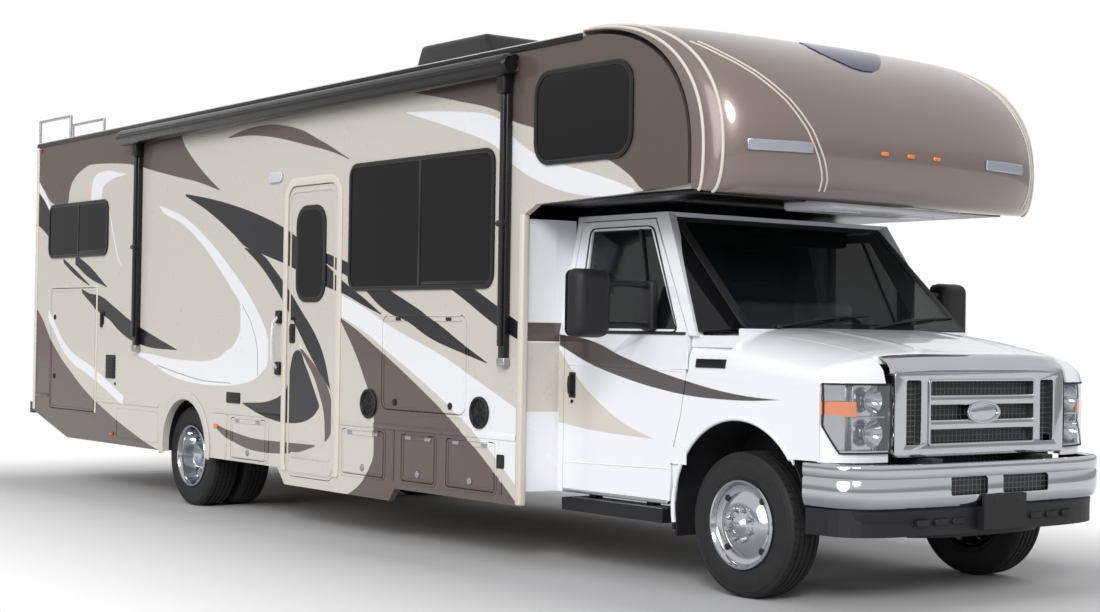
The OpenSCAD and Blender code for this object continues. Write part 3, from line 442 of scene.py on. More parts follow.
# Stage: floor that turns plain white far out, white surround, two soft lamps
def addStage():
    bpy.ops.object.select_all(action="DESELECT")
    bpy.ops.mesh.primitive_circle_add(vertices=96, radius=70, fill_type="NGON", location=(0, 0, 0))
    floor = bpy.context.object
    floor.name = "floor"
    white = Finish("floorWhite", (0.5, 0.5, 0.51, 1), Roughness=0.9)
    aside, along = (white.y.size() - 1.3).larger(0.0), (white.x.size() - 4.4).larger(0.0)
    far = (aside * aside + along * along).math("SQRT").above(0.3, 2.2)
    tree = white.tree
    glow = tree.nodes.new("ShaderNodeEmission")
    mix = tree.nodes.new("ShaderNodeMixShader")
    seen, shiny, through = rays(tree)
    join(tree, far * seen.larger(shiny).larger(through), mix.inputs[0])
    tree.links.new(white.shader.outputs[0], mix.inputs[1])
    tree.links.new(glow.outputs[0], mix.inputs[2])
    tree.links.new(mix.outputs[0], tree.nodes["Material Output"].inputs[0])
    white.bump(white.noise(30, 3), 0.0005, 0.2)
    floor.data.materials.append(white.close(0.01, 0.4))
    world = bpy.data.worlds.new("surround")
    bpy.context.scene.world = world
    world.use_nodes = True
    tree = world.node_tree
    back = tree.nodes["Background"]
    seen, shiny, through = rays(tree)
    around = tree.nodes.new("ShaderNodeTexCoord")
    apart = tree.nodes.new("ShaderNodeSeparateXYZ")
    tree.links.new(around.outputs["Generated"], apart.inputs[0])
    height = Val(tree, apart.outputs[2])  # a darker band low down gives the bright metal something to show
    sky = ((height * 2.2 + 0.25).held() * 0.46 + 0.22).larger(shiny * 0.9) * (height.above(0.10, 0.10) * 0.5 + 0.5)
    join(tree, seen.larger(through).larger(sky), back.inputs["Strength"])
    back.inputs["Color"].default_value = (1, 1, 1, 1)
    for place, aim, power, spread in (((13, -10, 9), (2, 0, 1), 1.6, 18), ((2, -16, 7), (-1, 0, 1.4), 0.95, 35)):
        bpy.ops.object.light_add(type="SUN", location=place)
        lamp = bpy.context.object
        lamp.rotation_euler = (Vector(aim) - Vector(place)).to_track_quat("-Z", "Y").to_euler()
        lamp.data.energy, lamp.data.angle = power, math.radians(spread)


addStage()
bpy.context.scene.view_settings.view_transform = "Standard"
print("stage ready")


# Making and finishing pieces
def clear():
    if bpy.context.object and bpy.context.object.mode != "OBJECT":
        bpy.ops.object.mode_set(mode="OBJECT")
    bpy.ops.object.select_all(action="DESELECT")


def pick(piece):
    clear()
    piece.select_set(True)
    bpy.context.view_layer.objects.active = piece


def settle(piece):
    pick(piece)
    bpy.ops.object.transform_apply(location=True, rotation=True, scale=True)
    return piece


def edges(piece, width, steps=2, angle=40):
    pick(piece)
    bevel = piece.modifiers.new("edge", "BEVEL")
    bevel.width, bevel.segments, bevel.angle_limit = width, steps, math.radians(angle)
    bevel.use_clamp_overlap = True
    bpy.ops.object.modifier_apply(modifier=bevel.name)
    return piece


def smooth(piece, angle=35):
    pick(piece)
    bpy.ops.object.shade_smooth_by_angle(angle=math.radians(angle))
    return piece


def editAll(piece, step, **settings):  # one edit-mode step on the whole mesh
    pick(piece)
    bpy.ops.object.mode_set(mode="EDIT")
    bpy.ops.mesh.select_all(action="SELECT")
    step(**settings)
    bpy.ops.object.mode_set(mode="OBJECT")
    return piece


def outward(piece, merge=0.00005):
    editAll(piece, bpy.ops.mesh.remove_doubles, threshold=merge)
    return editAll(piece, bpy.ops.mesh.normals_make_consistent, inside=False)


def facing(piece, face, axis, sign=1):  # normals the same way round, the given face towards the axis
    outward(piece)
    if piece.data.polygons[face].normal[axis] * sign < 0:
        piece.data.flip_normals()
    return piece


def drawn(sheet, depth):  # a flat sheet drawn out along y
    return editAll(sheet, bpy.ops.mesh.extrude_region_move, TRANSFORM_OT_translate={"value": (0, depth, 0)})


def block(x0, x1, y0, y1, z0, z1, radius=0.0, steps=3):
    clear()
    bpy.ops.mesh.primitive_cube_add(size=1, location=((x0 + x1) / 2, (y0 + y1) / 2, (z0 + z1) / 2))
    piece = bpy.context.object
    piece.scale = (x1 - x0, y1 - y0, z1 - z0)
    settle(piece)
    return edges(piece, radius, steps) if radius else piece


def slab(x0, x1, *rest):  # a block placed from the front axle
    return block(rowX(x0), rowX(x1), *rest)


def rod(a, b, radius, sides=20, edge=0.0):
    a, b = Vector(a), Vector(b)
    clear()
    bpy.ops.mesh.primitive_cylinder_add(vertices=sides, radius=radius, depth=(b - a).length, location=(a + b) / 2,
                                        rotation=(b - a).to_track_quat("Z", "Y").to_euler())
    piece = settle(bpy.context.object)
    return edges(piece, edge, 2) if edge else piece


def tube(points, radius, sides=4, closed=False):
    line = bpy.data.curves.new("line", "CURVE")
    line.dimensions, line.bevel_depth, line.bevel_resolution, line.use_fill_caps = "3D", radius, sides, True
    spline = line.splines.new("POLY")
    spline.points.add(len(points) - 1)
    for spot, place in zip(spline.points, points):
        spot.co = (*place, 1)
    spline.use_cyclic_u = closed
    piece = bpy.data.objects.new("line", line)
    bpy.context.collection.objects.link(piece)
    pick(piece)
    bpy.ops.object.convert(target="MESH")
    return outward(bpy.context.object, 0.00001)


def rowTube(points, *rest):  # a tube placed from the front axle
    return tube([(rowX(x), y, z) for x, y, z in points], *rest)


def fromMesh(points, faces):
    mesh = bpy.data.meshes.new("sheet")
    mesh.from_pydata([tuple(p) for p in points], [], faces)
    piece = bpy.data.objects.new("sheet", mesh)
    bpy.context.collection.objects.link(piece)
    pick(piece)
    return piece


def thicken(piece, depth, offset=-1.0):
    pick(piece)
    wall = piece.modifiers.new("wall", "SOLIDIFY")
    wall.thickness, wall.offset, wall.use_even_offset = depth, offset, True
    bpy.ops.object.modifier_apply(modifier=wall.name)
    return piece


def raised(outline, y0, y1, radius=0.0, hole=None, steps=2):
    # a plate, or a ring around a hole, from an outline in x and z
    n = len(outline)
    if hole:
        sheet = fromMesh([(x, y0, z) for x, z in outline] + [(x, y0, z) for x, z in hole],
                         [(i, (i + 1) % n, n + (i + 1) % n, n + i) for i in range(n)])
    else:
        sheet = fromMesh([(x, y0, z) for x, z in outline], [tuple(range(n))])
    outward(drawn(sheet, y1 - y0))
    return edges(sheet, radius, steps, 50) if radius else sheet


def onCircle(cx, cz, radius, angle):
    return cx + radius * math.cos(math.radians(angle)), cz + radius * math.sin(math.radians(angle))


def rounded(x0, x1, z0, z1, radius, steps=8, grow=0.0):
    x0, x1, z0, z1, radius = x0 - grow, x1 + grow, z0 - grow, z1 + grow, max(radius + grow, 0.002)
    points = []
    for cx, cz, start in ((x1 - radius, z1 - radius, 0), (x0 + radius, z1 - radius, 90),
                          (x0 + radius, z0 + radius, 180), (x1 - radius, z0 + radius, 270)):
        points += [onCircle(cx, cz, radius, start + 90 * k / steps) for k in range(steps + 1)]
    return points


def lathe(profile, centre, side, sides=72):  # profile of (distance out, radius), turned about a line along y
    cx, cy, cz = centre
    piece = fromMesh([(cx + r, cy + side * d, cz) for d, r in profile], [])
    mesh = piece.data
    mesh.edges.add(len(profile) - 1)
    for k, edge in enumerate(mesh.edges):
        edge.vertices = (k, k + 1)
    mesh.update()
    editAll(piece, bpy.ops.mesh.spin, steps=sides, angle=2 * math.pi, center=centre, axis=(0, 1, 0))
    return outward(piece, 0.0003)


def cut(piece, cutter, kind="DIFFERENCE"):
    pick(piece)
    trim = piece.modifiers.new("cut", "BOOLEAN")
    trim.operation, trim.object, trim.solver = kind, cutter, "EXACT"
    bpy.ops.object.modifier_apply(modifier=trim.name)
    bpy.data.objects.remove(cutter)
    return piece


def together(*group):
    group = [g for part in group for g in (part if isinstance(part, (list, tuple)) else [part])]
    clear()
    for part in group:
        part.select_set(True)
    bpy.context.view_layer.objects.active = group[0]
    bpy.ops.object.join()
    return group[0]


def otherSide(piece):  # mirrored copy with a mesh of its own
    pick(piece)
    bpy.ops.object.duplicate(linked=False)
    copy = bpy.context.object
    copy.scale = (1, -1, 1)
    editAll(settle(copy), bpy.ops.mesh.flip_normals)
    if copy.data.polygons[0].normal.dot(Vector((1, -1, 1)) * piece.data.polygons[0].normal) < 0:
        copy.data.flip_normals()
    return copy


def done(piece, name, body, finish, hides=(), angle=35):
    smooth(piece, angle)
    piece.name = name
    piece.data.name = name
    piece.data.materials.clear()
    piece.data.materials.append(mats[finish])
    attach(piece, body)
    if hides:
        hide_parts(*hides)
    return piece


def bothSides(piece, name, body, finish, hides=()):
    # the piece is on the right; body and hides may hold the word SIDE
    left = otherSide(piece)
    for part, side in ((piece, "right"), (left, "left")):
        done(part, f"{name}_{side}", body.replace("SIDE", side), finish, [h.replace("SIDE", side) for h in hides])


# Cab-over cap: one smooth shell with trims laid on it
capShape = {"reach": 0.29, "sideReach": -0.105, "low": 2.03, "nose": 2.25, "power": 2.3, "crown": 0.042, "eave": 2.97,
            "start": -1.0, "wall": 0.02}


def capSpot(y, turn, lift=0.0):  # turn runs from 90 at the roof through 0 at the nose to -90 at the lower edge
    c = capShape
    blend = max(0.0, 1 - abs(y / halfWidth) ** 3) ** (1 / 3)
    top, mid, low = c["eave"] + blend * c["crown"] + lift, c["nose"] + 0.04 * blend, c["low"] + 0.04 * (1 - blend)
    reach = (1 - blend) * (c["sideReach"] - c["start"]) + blend * (c["reach"] - c["start"]) + lift
    t = math.radians(turn)
    if turn >= 0:
        power = 2 / c["power"]
        return Vector((rowX(c["start"]) + reach * max(math.cos(t), 0) ** power, y,
                       mid + (top - mid) * math.sin(t) ** power))
    return Vector((rowX(c["start"]) + reach - 0.16 * blend * (1 - math.cos(t)), y, mid + (mid - low) * math.sin(t)))


def capTurn(y, z):  # the turn at which the shell passes a height
    return min(range(-900, 901), key=lambda k: abs(capSpot(y, k / 10).z - z)) / 10


def onCap(y, z, lift=0.0):
    return capSpot(y, capTurn(y, z), lift)


def makeCap():
    clear()
    bpy.ops.mesh.primitive_grid_add(x_subdivisions=96, y_subdivisions=80, size=2)
    cap = bpy.context.object
    for spot in cap.data.vertices:
        u, v = spot.co.x, spot.co.y
        y = halfWidth * math.sin(math.pi / 2 * v)
        spot.co = capSpot(y, -90 * u)
    facing(outward(cap), len(cap.data.polygons) // 2, 0)
    thicken(cap, capShape["wall"])
    done(cap, "capShell", "root", "cap", ["cab_over_cap"], 60)
    trims = []
    for y in (halfWidth - 0.004, 1.213):
        path = [capSpot(-y, t, 0.002) for t in range(88, -91, -3)]
        trims.append(tube(path, 0.009))
        trims.append(tube([(p.x, -p.y, p.z) for p in path], 0.009))
    near = [(-1.144, 2.833), (-1.084, 2.756), (-0.977, 2.65), (-0.866, 2.524), (-0.762, 2.376), (-0.685, 2.229),
            (-0.64, 2.132), (-0.625, 2.075)]
    far = [(0.84, 2.86), (0.903, 2.77), (0.948, 2.699), (0.976, 2.58), (1.025, 2.438), (1.055, 2.27), (1.055, 2.16),
           (1.045, 2.075)]
    for path, gap in ((near, 0.0), (near, -0.034), (far, 0.0), (far, 0.034)):
        fine = [tuple(Vector(a).lerp(Vector(b), k / 5)) for a, b in zip(path, path[1:]) for k in range(5)] + [path[-1]]
        trims.append(tube([onCap(max(y + gap, -1.235), z, 0.002) for y, z in fine], 0.005))
    done(together(trims), "capTrims", "root", "cream")
    lamps = []
    for y0, y1 in ((-1.12, -0.77), (0.56, 0.92)):
        top, low = ([onCap(y0 + (y1 - y0) * k / 10, z, 0.006) for k in range(11)] for z in (2.308, 2.262))
        lamps.append(thicken(fromMesh(top + low, [(i, i + 1, i + 12, i + 11) for i in range(10)]), 0.012, 0))
        lamps.append(tube(top + low[::-1], 0.006, 3, True))
    lamps = [outward(l) for l in lamps]
    done(together(lamps[0], lamps[2]), "capLightStrips", "root", "led")
    done(together(lamps[1], lamps[3]), "capLightFrames", "root", "alu")
    markers = []
    for y in (-0.268, -0.07, 0.135):
        at = onCap(y, 2.285)
        markers.append(block(at.x - 0.004, at.x + 0.014, y - 0.026, y + 0.026, 2.275, 2.297, 0.008))
    done(together(markers), "capMarkers", "root", "amber")
    outline = [(-0.28, 2.937), (-0.365, 2.885), (-0.375, 2.842), (-0.335, 2.801), (-0.28, 2.763), (-0.21, 2.747),
               (-0.13, 2.75), (-0.02, 2.786), (0.13, 2.859), (0.30, 2.931), (0.14, 2.94), (-0.08, 2.94)]
    spots, faces, n = [], [], len(outline) * 4
    around = [tuple(Vector(a).lerp(Vector(b), k / 4)) for a, b in zip(outline, outline[1:] + outline[:1])
              for k in range(4)]
    for k in range(1, 7):
        spots += [capSpot(-0.09 + (y + 0.09) * k / 6, capTurn(y, 2.86 + (z - 2.86) * k / 6), 0.005) for y, z in around]
        faces += [(k * n - n + i, k * n - n + (i + 1) % n, k * n + (i + 1) % n, k * n + i) for i in range(n) if k < 6]
    sky = facing(fromMesh(spots, faces + [tuple(range(n))]), 0, 2)
    done(thicken(sky, 0.006), "capSkylight", "root", "skyGlass", (), 60)
    # under the overhang: a satin black sheet as painted shade, with a pale panel in front
    c = capShape["low"]
    lining = slab(-1.5, -0.13, -1.2, 1.2, c + 0.02, c + 0.042, 0.008)
    done(lining, "overhangShadeSheet", "root", "satin")
    panel = slab(-0.30, 0.06, -0.42, 0.62, c - 0.022, c + 0.03, 0.020, 4)
    done(panel, "overhangPanel", "root", "whiteTrim")
    slots = [slab(-0.16, -0.06, y - 0.14, y + 0.14, c - 0.030, c - 0.015, 0.005) for y in (-0.2, 0.4)]
    done(together(slots), "overhangLights", "root", "lens")


makeCap()
print("cap made")

# Wheels: tyres with grooves and bright covers, front domed and rear dished
wheelSet = {"frontY": 0.875, "rearY": 1.085, "pitch": 0.262, "tyreHalf": 0.108,
            "grooves": (-0.052, -0.018, 0.018, 0.052), "grooveDepth": 0.009}


def tyreProfile():
    r, h = tyreRadius, wheelSet["tyreHalf"]
    side = [(-h + 0.020, 0.2163), (-h + 0.010, 0.226), (-h + 0.009, 0.238), (-h + 0.003, 0.247), (-h + 0.001, 0.285),
            (-h, 0.300), (-h + 0.002, 0.322), (-h + 0.004, 0.334), (-h + 0.002, 0.338), (-h + 0.009, 0.352),
            (-h + 0.018, r - 0.007), (-h + 0.034, r - 0.001)]
    top = []
    for g in wheelSet["grooves"]:
        d = wheelSet["grooveDepth"]
        top += [(g - 0.0055, r), (g - 0.004, r - d), (g + 0.004, r - d), (g + 0.0055, r)]
    inner = [(h - 0.02, 0.2163), (h - 0.05, 0.235), (0, 0.24), (-h + 0.05, 0.235)]
    return side + top + [(-d, q) for d, q in reversed(side)][0:len(side)] + inner[1:] + [side[0]]


coverRim = [(-0.085, 0.203), (-0.075, 0.212), (0.088, 0.2125), (0.098, 0.222), (0.106, 0.229), (0.111, 0.226),
            (0.112, 0.216)]
innerDish = [(-0.09, 0.2), (-0.08, 0.212), (0.085, 0.2125), (0.098, 0.226), (0.08, 0.2), (-0.02, 0.18), (-0.06, 0.1),
             (-0.06, 0.05)]
wheelKinds = {  # nuts: radius, distance out; holes: how many, radius, distance out, length
    "front": {
        "x": frontX, "y": wheelSet["frontY"], "body": "front_wheel_", "tyre": "front_tyre_", "rim": "front_rim_",
        "finish": "tyreFront",
        "nuts": (0.083, 0.105), "holes": (4, 0.178, 0.078, 0.0065),
        "cover": coverRim + [(0.102, 0.207), (0.088, 0.200), (0.080, 0.186), (0.078, 0.168), (0.086, 0.152),
                             (0.098, 0.132), (0.104, 0.112), (0.106, 0.092), (0.112, 0.086), (0.114, 0.078),
                             (0.118, 0.058), (0.124, 0.046),
                             (0.134, 0.036), (0.140, 0.018), (0.142, 0.0005)]},
    "rear": {
        "x": frontX - wheelbase, "y": wheelSet["rearY"], "body": "rear_wheels_", "tyre": "rear_tyres_",
        "rim": "rear_rims_", "finish": "tyreRear",
        "nuts": (0.125, -0.012), "holes": (8, 0.158, 0.0, 0.004),
        "cover": coverRim + [(0.100, 0.207), (0.070, 0.200), (0.030, 0.192), (0.000, 0.178), (-0.012, 0.150),
                             (-0.014, 0.112), (-0.004, 0.100), (0.010, 0.090), (0.040, 0.084), (0.060, 0.074),
                             (0.066, 0.050), (0.068, 0.0005)]},
}


def makeWheel(kind, side):
    w, word = wheelKinds[kind], "left" if side > 0 else "right"
    x, y, body = w["x"], w["y"], w["body"] + word
    centre, inside = (x, side * y, tyreRadius), (x, side * (y - wheelSet["pitch"]), tyreRadius)
    tyres = [lathe(tyreProfile(), spot, side) for spot in ((centre,) if kind == "front" else (centre, inside))]
    done(together(tyres), f"{kind}Tyres_{word}", body, w["finish"], [w["tyre"] + word], 30)
    cover = thicken(lathe(w["cover"], centre, side), 0.003)
    nutAt, nutHigh = w["nuts"]
    count, holeAt, holeHigh, holeLong = w["holes"]
    extras, dark = [], []

    def along(spot, far):
        return spot + Vector((0, side * far, 0))
    for k in range(8):
        a = math.radians(45 * k + 22)
        p = Vector((x + nutAt * math.cos(a), side * (y + nutHigh), tyreRadius + nutAt * math.sin(a)))
        extras.append(rod(along(p, -0.01), along(p, 0.026), 0.0145, 6, 0.003))
        extras.append(rod(p, along(p, 0.034), 0.009, 12, 0.003))
    # painted shade: the holes are not cut, black discs stand for the shade seen through them
    for k in range(count):
        a = math.radians(360 // count * k + 45)
        p = Vector((x + holeAt * math.cos(a), side * (y + holeHigh), tyreRadius + holeAt * math.sin(a)))
        dark.append(rod(along(p, -0.004), along(p, holeLong), 0.017, 20, 0.002))
    if kind == "rear":
        extras.append(lathe(innerDish, inside, side))
    done(together(cover, extras), f"{kind}Cover_{word}", body, "chrome", [w["rim"] + word], 30)
    done(together(dark), f"{kind}CoverHoles_{word}", body, "rubber")


for side in (1, -1):
    makeWheel("front", side)
    makeWheel("rear", side)
print("wheels made")

# Front of the cab: hood, fenders, lamps, grille and bumper
noseSet = {"creaseRear": 1.145, "creaseFront": 1.098, "seamRear": 0.80, "seamFront": 0.70, "archX": -0.02,
           "archZ": 0.425, "archRadius": 0.485}


def between(spots, x):  # value at x on a line through (x, value) spots
    if x <= spots[0][0]:
        return spots[0][1]
    for (a, p), (b, q) in zip(spots, spots[1:]):
        if x <= b:
            t = (x - a) / (b - a)
            return p + (q - p) * t
    return spots[-1][1]


def noseEnd(y):
    return between([(0, 0.664), (0.5, 0.662), (0.66, 0.655), (0.78, 0.636), (0.86, 0.612), (0.93, 0.578),
                    (0.97, 0.548), (1.0, 0.52)], abs(y))


def creaseHeight(part):
    return noseSet["creaseRear"] + (noseSet["creaseFront"] - noseSet["creaseRear"]) * part


def seamAside(part):
    return noseSet["seamRear"] - (noseSet["seamRear"] - noseSet["seamFront"]) * part


def topHeight(x, y):
    part = min(max(x + 0.4, 0), 1)
    crease = creaseHeight(part)
    crown = between([(-0.4, 1.388), (-0.1, 1.376), (0.1, 1.358), (0.3, 1.332), (0.45, 1.306), (0.56, 1.282),
                     (0.62, 1.262), (0.66, 1.243)], x)
    square = 7.0 - 3.6 * part
    return crease + (crown - crease) * max(0.0, 1 - min(abs(y), 1.0) ** square) ** (1 / 2.3)


def gridPiece(columns, rows, spot):
    clear()
    bpy.ops.mesh.primitive_grid_add(x_subdivisions=columns, y_subdivisions=rows, size=2)
    piece = bpy.context.object
    for v in piece.data.vertices:
        v.co = spot((v.co.x + 1) / 2, (v.co.y + 1) / 2)
    return piece


def makeHood():
    def spot(u, v):
        y = (2 * u - 1) * seamAside(v)
        x = -0.097 + (min(noseEnd(y), 0.645) + 0.097) * v
        rib = 0.006 * math.exp(-((abs(y) - 0.42 + 0.06 * v) / 0.03) ** 2) * min(1, 4 * v)
        z = topHeight(x, y) + rib
        if v > 0.96:
            z -= 0.03 * ((v - 0.96) / 0.04) ** 2
        return rowX(x), y, z
    hood = gridPiece(60, 50, spot)
    thicken(facing(hood, 1500, 2), 0.014)
    hinges = [slab(-0.108, -0.05, s * 0.6 - 0.045, s * 0.6 + 0.045, 1.335, 1.352, 0.004) for s in (-1, 1)]
    done(together(hood, hinges), "hoodPanel", "hood", "cab", ["hood"], 50)
    cowl = gridPiece(40, 6, lambda u,
                     v: (rowX(-0.155 + 0.052 * v), (2 * u - 1) * 0.86, 1.352 + 0.012 * (1 - abs(2 * u - 1) ** 3)))
    slots = [slab(-0.15, -0.108, y - 0.004, y + 0.004, 1.358, 1.368, 0.001) for y in [k * 0.05 for k in range(-12, 13)]]
    done(together(thicken(outward(cowl), 0.012), slots), "cowl", "root", "black")


def doorLine(z):
    return between([(0.45, -0.524), (0.7, -0.514), (0.9, -0.449), (1.1, -0.409), (1.33, -0.393)], z)


def makeFender():
    def spot(u, v):  # v runs from the hood seam over the crease and down the side
        if v <= 0.5:
            seam = seamAside(max(0, u * 1.3 - 0.3)) + 0.005
            y = seam + (1.0 - seam) * (2 * v) ** 0.7
            end = lampLine(y) + 0.003
            x = doorLine(1.33) + (end - doorLine(1.33)) * u
            roll = min(max((x - end + 0.13) / 0.13, 0), 1)
            full = topHeight(x, y)
            return rowX(x), -y, min(full, 1.106 + max(full - 1.106, 0) * (1 - roll ** 2.6) ** 0.5 + 0.004)
        down = 2 * v - 1
        top = creaseHeight(u)
        z = top + (0.45 - top) * down
        rear = doorLine(z)
        x = rear + (0.558 - rear) * u
        y = 1.0 - 0.006 * math.exp(-((z - top + 0.012) / 0.02) ** 2) - 0.02 * down ** 3
        return rowX(x), -y, z
    fender = gridPiece(70, 60, spot)
    facing(outward(fender), len(fender.data.polygons) // 2, 1, -1)
    thicken(fender, 0.012)
    s = noseSet
    cut(fender, rod((rowX(s["archX"]), -1.3, s["archZ"]), (rowX(s["archX"]), -0.8, s["archZ"]), s["archRadius"], 96))
    cut(fender, slab(0.38, 0.8, -1.3, -0.7, 0.3, 0.728))
    cut(fender, slab(-0.40, 0.3, -1.3, -0.7, 0.3, 0.6))

    def archSpot(radius, angle, y):
        x, z = onCircle(s["archX"], s["archZ"], radius, angle)
        return rowX(x), y, z

    def fillSpot(u, v):  # between the lamp's foot and the bumper
        y = 0.67 + 0.327 * u
        return rowX(lampLine(y) - 0.012), -y, 0.724 + (lampLow(y) + 0.012 - 0.724) * v
    lip = tube([archSpot(s["archRadius"], a, -0.994) for a in range(38, 191, 4)], 0.0125, 3)
    fill = facing(gridPiece(24, 6, fillSpot), 10, 0)
    bothSides(together(fender, lip, thicken(fill, 0.006)), "fender", "root", "cab", ["front_fenders"])
    liner = gridPiece(40, 8, lambda u, v: archSpot(0.492, 24 + 166 * u, -0.985 + 0.40 * v))
    guard = slab(-0.512, -0.497, -0.975, -0.63, 0.265, 0.66, 0.006)
    flap = slab(-0.53, -0.505, -0.985, -0.95, 0.30, 0.62, 0.008)
    inner = slab(-0.45, 0.60, -0.60, -0.575, 0.72, 1.2, 0.006)
    bothSides(together(thicken(outward(liner), 0.006), guard, flap, inner), "wheelhouseLiner", "root", "black")


def makeBadge():  # bare plate on each fender
    def spot(u, v):
        x, z = -0.335 + 0.225 * u, 1.162 + 0.046 * v
        part = min(max(x + 0.4, 0), 1)
        crease = creaseHeight(part)
        crown = between([(-0.4, 1.388), (-0.1, 1.376), (0.1, 1.358)], x)
        return rowX(x), -(max(0, 1 - ((z - crease) / (crown - crease)) ** 2.3) ** (1 / (7.0 - 3.6 * part)) + 0.003), z
    plate = facing(gridPiece(12, 6, spot), 20, 1, -1)
    bothSides(edges(thicken(plate, 0.005, 0), 0.002, 2), "fenderPlate", "root", "satin")


lampSet = {"low": 0.768, "top": 1.108, "depth": 0.07}


def lampLine(y):
    return between([(0.665, 0.716), (0.72, 0.712), (0.80, 0.700), (0.86, 0.682), (0.92, 0.650), (0.96, 0.614),
                    (0.985, 0.580), (0.998, 0.556)], y)


def lampLow(y):
    return between([(0.66, 0.0), (0.945, 0.0), (0.998, 0.15)], y) + lampSet["low"]


def makeHeadlamp():
    def face(inset, back, bulge=0.006):
        def spot(u, v):
            y = 0.668 + inset + (0.994 - inset - 0.668 - inset) * u
            low, top = lampLow(y) + inset, lampSet["top"] - inset
            z = low + (top - low) * v
            return rowX(lampLine(y) - back + bulge * (1 - (2 * v - 1) ** 2)), -y, z
        return spot
    lens = facing(gridPiece(24, 16, face(0.006, 0.0)), 10, 0)
    bothSides(thicken(lens, 0.003), "headlampLens", "root", "lampGlass")
    back = facing(gridPiece(24, 16, face(0.002, lampSet["depth"], 0.0)), 10, 0)
    bowls = []
    for z, y, r in ((1.025, 0.765, 0.062), (0.865, 0.765, 0.066)):
        bowl = lathe([(0.02 - 0.05 * (1 - (k / 8) ** 2), r * k / 8 + 0.0004) for k in range(9)], (0, 0, 0), 1, 32)
        bowl.rotation_euler = (0, 0, math.radians(-90))
        bowl.location = (rowX(lampLine(y) - 0.034), -y, z)
        bowls.append(thicken(settle(bowl), 0.002, 1))
        bowls.append(rod((rowX(lampLine(y) - 0.06), -y, z), (rowX(lampLine(y) - 0.02), -y, z), 0.011, 16, 0.005))
    shelf = slab(0.61, 0.682, -0.86, -0.672, 0.938, 0.948, 0.003)
    post = slab(0.60, 0.655, -0.872, -0.862, 0.78, 1.10, 0.003)
    around = [(k / 12, 0) for k in range(13)] + [(1, k / 6) for k in range(1, 7)]
    around += [(1 - k / 12, 1) for k in range(1, 13)] + [(0, 1 - k / 6) for k in range(1, 6)]
    rim = [face(0.003, -0.001)(u, v) for u, v in around]
    bothSides(together(thicken(back, 0.004), bowls, shelf, post), "headlampReflector", "root", "chrome",
              ["headlamps"])
    bothSides(tube(rim, 0.005, 3, True), "headlampSeal", "root", "rubber")

    def amberSpot(u, v):
        y = 0.862 + 0.13 * u
        return rowX(lampLine(y) - 0.010), -y, 0.945 + 0.075 * v + 0.012 * u * (1 - v)
    amber = facing(gridPiece(8, 8, amberSpot), 10, 0)
    bothSides(thicken(amber, 0.012), "headlampAmber", "root", "amber")


def upright(outline, x0, x1, radius=0.0, hole=None, steps=2):  # like raised, for an outline in y and z
    piece = raised([(y, z) for y, z in outline], x0, x1, radius, hole, steps)
    for spot in piece.data.vertices:
        spot.co = (spot.co.y, spot.co.x, spot.co.z)
    return outward(piece)


grilleSet = {"half": 0.655, "low": 0.746, "top": 1.172, "face": 0.732}


def makeGrille():
    half, low, top, face = (grilleSet[key] for key in ("half", "low", "top", "face"))

    def oval(a, b):
        return [(a * math.cos(math.radians(k)), 0.9625 + b * math.sin(math.radians(k))) for k in range(0, 360, 10)]

    def onFace(outline, back, out, *rest):
        return upright(outline, rowX(face - back), rowX(face + out), *rest)
    plate = onFace(rounded(-half, half, low, top, 0.03), 0.045, 0)
    for y, reach in ((0, 0.405), (-0.517, 0.054), (0.517, 0.054)):
        cut(plate, slab(0.6, 0.8, y - reach, y + reach, 0.806, 1.124, 0.012))
    edges(plate, 0.006, 3, 50)
    bars = [slab(face - 0.035, face + 0.006, -0.41, 0.41, z, z + 0.052, 0.009) for z in (0.876, 0.999)]
    border = onFace(rounded(-0.412, 0.412, 0.799, 1.131, 0.016), 0.02, 0.007, 0.003,
                    rounded(-0.400, 0.400, 0.811, 1.119, 0.012))
    blank = together(onFace(oval(0.128, 0.058), 0.01, 0.014, 0.004, oval(0.108, 0.043)),
                     onFace(oval(0.11, 0.045), 0.01, 0.008, 0.003))

    def lipSpot(u, v):
        y = (2 * u - 1) * (0.675 - 0.01 * v)
        x = between([(0.0, 0.655), (0.15, 0.74), (0.3, 0.757), (0.5, 0.752), (0.75, 0.722), (0.9, 0.69), (1.0, 0.655)],
                    v)
        z = between([(0.0, 1.168), (0.15, 1.165), (0.3, 1.175), (0.5, 1.20), (0.75, 1.238), (0.9, 1.254),
                     (1.0, 1.256)], v)
        fall = 0.018 * abs(2 * u - 1) ** 5
        return rowX(x - 0.045 * abs(2 * u - 1) ** 6), y, z - fall
    lip = facing(gridPiece(48, 20, lipSpot), 500, 0)
    done(together(plate, bars, border, blank, thicken(lip, 0.006)), "grilleFrame", "root", "chrome",
         ["grille"])
    wire = slab(face - 0.05, face - 0.042, -0.62, 0.62, 0.79, 1.14, 0.003)
    done(wire, "grilleMesh", "root", "mesh")
    core = slab(0.60, 0.68, -0.64, 0.64, 0.76, 1.16, 0.01)
    done(core, "radiatorShroud", "root", "black")
    stay = [slab(0.55, 0.69, s * 0.56 - 0.02, s * 0.56 + 0.02, 0.79, 0.84, 0.004) for s in (-1, 1)]
    done(together(stay), "grilleStays", "root", "frame")


def bumperSpot(turn, out, z, half=1.0, reach=0.42):
    s, c = math.sin(math.radians(turn)), max(math.cos(math.radians(turn)), 0.0)
    y, x = math.copysign(half * abs(s) ** 0.5, s), reach * c ** 0.5
    ahead, aside = (x / reach) ** 3 / reach, (abs(y) / half) ** 3 / half
    size = math.hypot(ahead, aside)
    return rowX(0.45 + x + out * ahead / size), y + math.copysign(1, y) * out * aside / size, z


